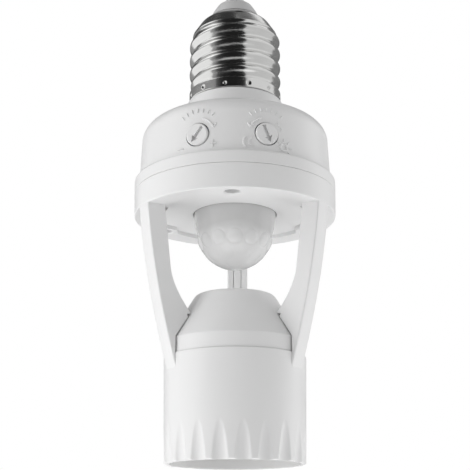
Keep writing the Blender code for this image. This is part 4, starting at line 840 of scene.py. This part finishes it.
def lamp_thread(azimuth, radius, height):
    if not SHELL_Z - 0.01 < height < SHELL_THREAD_TOP + 0.01 or abs(radius - SHELL_THREAD_R) > 0.01:
        return radius, height
    wave, ends = thread_wave(azimuth, height, SHELL_Z, SHELL_THREAD_TOP)
    return SHELL_THREAD_R - SHELL_GROOVE * wave * ends, height


def make_lamp_socket():
    profile = rounded([
        (SHELL_HOLE_R, SHELL_FLOOR, 0.0), (SHELL_HOLE_R, SHELL_TOP, 0.1), (SHELL_R, SHELL_TOP, 0.4),
        (SHELL_R, SHELL_Z, 0.12)], closed=False)
    profile += column(SHELL_THREAD_R, SHELL_Z, SHELL_THREAD_TOP, 110)
    profile += [(SHELL_THREAD_R, SHELL_FLOOR - 0.2), (13.2, SHELL_FLOOR)]
    shell = plain("lamp_shell_fine", lathe(profile, 192, True, lamp_thread))
    dress(shell, SHELL_METAL, "holder", "lamp_shell", slot="plated_metal", angle=50.0)


# Light, floor and camera, in metres

FLOOR_Z, FLOOR_R, FLOOR_GLOW = -0.33, 6.0, 0.5
ROOM_LIGHT = 0.476
# Focal length of 1080 pixels in a photograph 470 pixels wide
SENSOR_WIDTH, FOCAL = 36.0, 1080.0 / 470.0
CAMERA_AZIMUTH, CAMERA_DISTANCE, CAMERA_HEIGHT, CAMERA_TILT = 1.8, 0.289, -0.0222, 16.4
LAMPS_AIM = Vector((0.0, 0.0, 0.07))
# Cards that only reflections show, on a sphere: from and to azimuth, from and to elevation, tone
CARD_R, CARD_Z, CARD_STEPS = 0.46, 0.11, 8
CARDS = [
    ("front_card", -37.0, 30.0, -46.0, 89.9, 0.012),
    ("front_left_card_1", -46.0, -37.0, -46.0, 89.9, 0.05),
    ("front_left_card_2", -58.0, -46.0, -46.0, 66.0, 0.26),
    ("left_low_card", -128.0, -58.0, -50.0, -16.0, 0.92),
    ("left_under_card", -128.0, -58.0, -60.0, -50.0, 0.20),
    ("left_middle_card", -128.0, -58.0, -16.0, 19.5, 0.95),
    ("left_strip_card_1", -92.0, -58.0, 19.5, 28.0, 0.17),
    ("left_strip_card_2", -150.0, -92.0, 19.5, 28.0, 0.22),
    ("left_high_card", -108.0, -58.0, 28.0, 66.0, 1.15),
    ("left_back_card", -115.0, -108.0, 28.0, 66.0, 0.40),
    ("left_top_card", -115.0, -46.0, 66.0, 89.9, 0.03),
    ("right_low_card", 30.0, 116.0, -60.0, 12.0, 0.60),
    ("right_card", 30.0, 116.0, 12.0, 40.0, 0.74),
    ("right_high_card", 30.0, 116.0, 40.0, 66.0, 0.80),
    ("right_top_card_1", 30.0, 62.0, 66.0, 89.9, 0.60),
    ("right_top_card_2", 62.0, 116.0, 66.0, 89.9, 0.10),
    ("back_right_card", 116.0, 180.0, -60.0, 48.0, 0.18),
    ("back_right_patch", 132.0, 166.0, 48.0, 66.0, 0.85),
    ("back_right_high_card", 116.0, 132.0, 48.0, 89.9, 0.25),
    ("back_right_top_card", 132.0, 180.0, 66.0, 89.9, 0.03),
    ("back_card", 166.0, 180.0, 48.0, 66.0, 0.02),
    ("back_left_card", -180.0, -150.0, -60.0, 89.9, 0.12),
    ("back_left_high_card", -150.0, -115.0, 28.0, 89.9, 0.05),
    ("back_left_low_card", -150.0, -128.0, -60.0, 19.5, 0.30),
]
# Area lamps: azimuth, height, distance, size, power
LAMPS = [
    ("key_left", -85.0, 0.10, 0.60, (0.5, 0.8), 1.0),
    ("front_left", -60.0, 0.10, 0.60, (0.3, 0.8), 1.42),
    ("front_right", 42.0, 0.05, 0.60, (0.3, 0.5), 0.10),
    ("fill_right", 88.0, 0.08, 0.60, (0.3, 0.8), 0.39),
    ("back_right", 120.0, 0.08, 0.60, (0.4, 0.8), 1.89),
    ("below", 0.0, -0.19, 0.001, (0.6, 0.6), 0.68),
]


def seen_rays(tree):
    """1 for rays that the camera, a reflection or a clear piece sends, 0 for the light itself."""
    path = tree.nodes.new("ShaderNodeLightPath")
    seen = path.outputs["Is Camera Ray"]
    for ray in ("Is Glossy Ray", "Is Transmission Ray"):
        either = tree.nodes.new("ShaderNodeMath")
        either.operation = "MAXIMUM"
        tree.links.new(seen, either.inputs[0])
        tree.links.new(path.outputs[ray], either.inputs[1])
        seen = either.outputs["Value"]
    return seen


def make_floor():
    bm = bmesh.new()
    bmesh.ops.create_circle(bm, cap_ends=True, segments=128, radius=FLOOR_R)
    floor = plain("floor", bm)
    floor.location.z = FLOOR_Z
    made, tree, shader = nodes_of("pale_floor")
    tree.links.new(ramp(tree, noise(tree, 40.0), (0.84, 0.84, 0.84), (0.87, 0.87, 0.87)),
                   shader.inputs["Base Color"])
    shader.inputs["Roughness"].default_value = 0.9
    shader.inputs["Emission Color"].default_value = (1.0, 1.0, 1.0, 1.0)
    tree.links.new(ramp(tree, seen_rays(tree), 0.0, FLOOR_GLOW, 0.0, 1.0), shader.inputs["Emission Strength"])
    floor.data.materials.append(made)


def make_world():
    """A white surrounding that gives less light than it shows."""
    world = bpy.data.worlds.new("studio")
    bpy.context.scene.world = world
    world.use_nodes = True
    tree = world.node_tree
    background = tree.nodes["Background"]
    seen = seen_rays(tree)
    shown = tree.nodes.new("ShaderNodeMix")
    shown.data_type = "FLOAT"
    shown.inputs["A"].default_value = ROOM_LIGHT
    shown.inputs["B"].default_value = 1.0
    tree.links.new(seen, shown.inputs["Factor"])
    background.inputs["Color"].default_value = (1.0, 1.0, 1.0, 1.0)
    tree.links.new(shown.outputs["Result"], background.inputs["Strength"])


def make_cards():
    for name, start, end, low, high, tone in CARDS:
        bm = bmesh.new()
        rows = []
        for j in range(CARD_STEPS + 1):
            e = math.radians(low + (high - low) * j / CARD_STEPS)
            radius, height = CARD_R * math.cos(e), CARD_Z + CARD_R * math.sin(e)
            azimuths = [start + (end - start) * i / CARD_STEPS for i in range(CARD_STEPS + 1)]
            rows.append([bm.verts.new(around(a, radius, height)) for a in azimuths])
        for lower, upper in zip(rows, rows[1:]):
            for i in range(CARD_STEPS):
                bm.faces.new((lower[i], lower[i + 1], upper[i + 1], upper[i]))
        card = plain(name, bm)
        made, tree, shader = nodes_of(name)
        shader.inputs["Base Color"].default_value = (0.0, 0.0, 0.0, 1.0)
        shader.inputs["Specular IOR Level"].default_value = 0.0
        shader.inputs["Emission Color"].default_value = (1.0, 1.0, 1.0, 1.0)
        shader.inputs["Emission Strength"].default_value = tone
        card.data.materials.append(made)
        card.visible_camera = card.visible_diffuse = card.visible_shadow = False


def make_lamps():
    for name, azimuth, height, distance, size, power in LAMPS:
        light = bpy.data.lights.new(name, "AREA")
        light.shape = "RECTANGLE"
        light.size, light.size_y = size
        light.energy = power
        lamp = bpy.data.objects.new(name, light)
        bpy.context.scene.collection.objects.link(lamp)
        lamp.visible_camera = False
        lamp.location = around(azimuth, distance, height)
        lamp.rotation_euler = (LAMPS_AIM - lamp.location).to_track_quat("-Z", "Y").to_euler()


def make_camera():
    data = bpy.data.cameras.new("camera")
    data.lens = SENSOR_WIDTH * FOCAL
    data.sensor_width = SENSOR_WIDTH
    data.clip_start = 0.01
    camera = bpy.data.objects.new("camera", data)
    bpy.context.scene.collection.objects.link(camera)
    camera.location = around(CAMERA_AZIMUTH, CAMERA_DISTANCE, CAMERA_HEIGHT)
    turn = Matrix.Rotation(math.radians(CAMERA_AZIMUTH), 4, "Z")
    tilt = Matrix.Rotation(math.radians(90.0 + CAMERA_TILT), 4, "X")
    camera.rotation_euler = (turn @ tilt).to_euler()
    bpy.context.scene.camera = camera
    bpy.context.scene.view_settings.view_transform = "Standard"


# CAD solids that are shown as they are
FINISHES = {
    "delay_trimmer": BLUE, "light_trimmer": BLUE, "circuit_board": LAMINATE, "relay": BLUE,
    "dropper_capacitor": FILM, "smoothing_capacitor": DARK, "control_chip": DARK,
    "fuse_resistor": BASE_RESIN, "pir_sensor": SHELL_METAL, "sensor_window": WINDOW,
    "lens_retainer": INNER_WHITE, "socket_base": BASE_RESIN, "contact_leaf": BRASS, "contact_rivet": BRASS,
    "cap_live_lead": RED, "cap_neutral_lead": BLACK, "lamp_live_lead": RED, "lamp_neutral_lead": BLACK,
}

make_cap()
make_housing()
make_marks()
make_dial("delay_dial", -1, -144.0)
make_dial("light_dial", 1, 158.0)
make_rim()
make_arms()
make_sleeve()
make_cover()
make_lens()
make_screws()
make_lamp_socket()
for node, finish in FINISHES.items():
    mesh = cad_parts[node].data
    mesh.materials.clear()
    mesh.materials.append(finish)
make_floor()
make_world()
make_cards()
make_lamps()
make_camera()
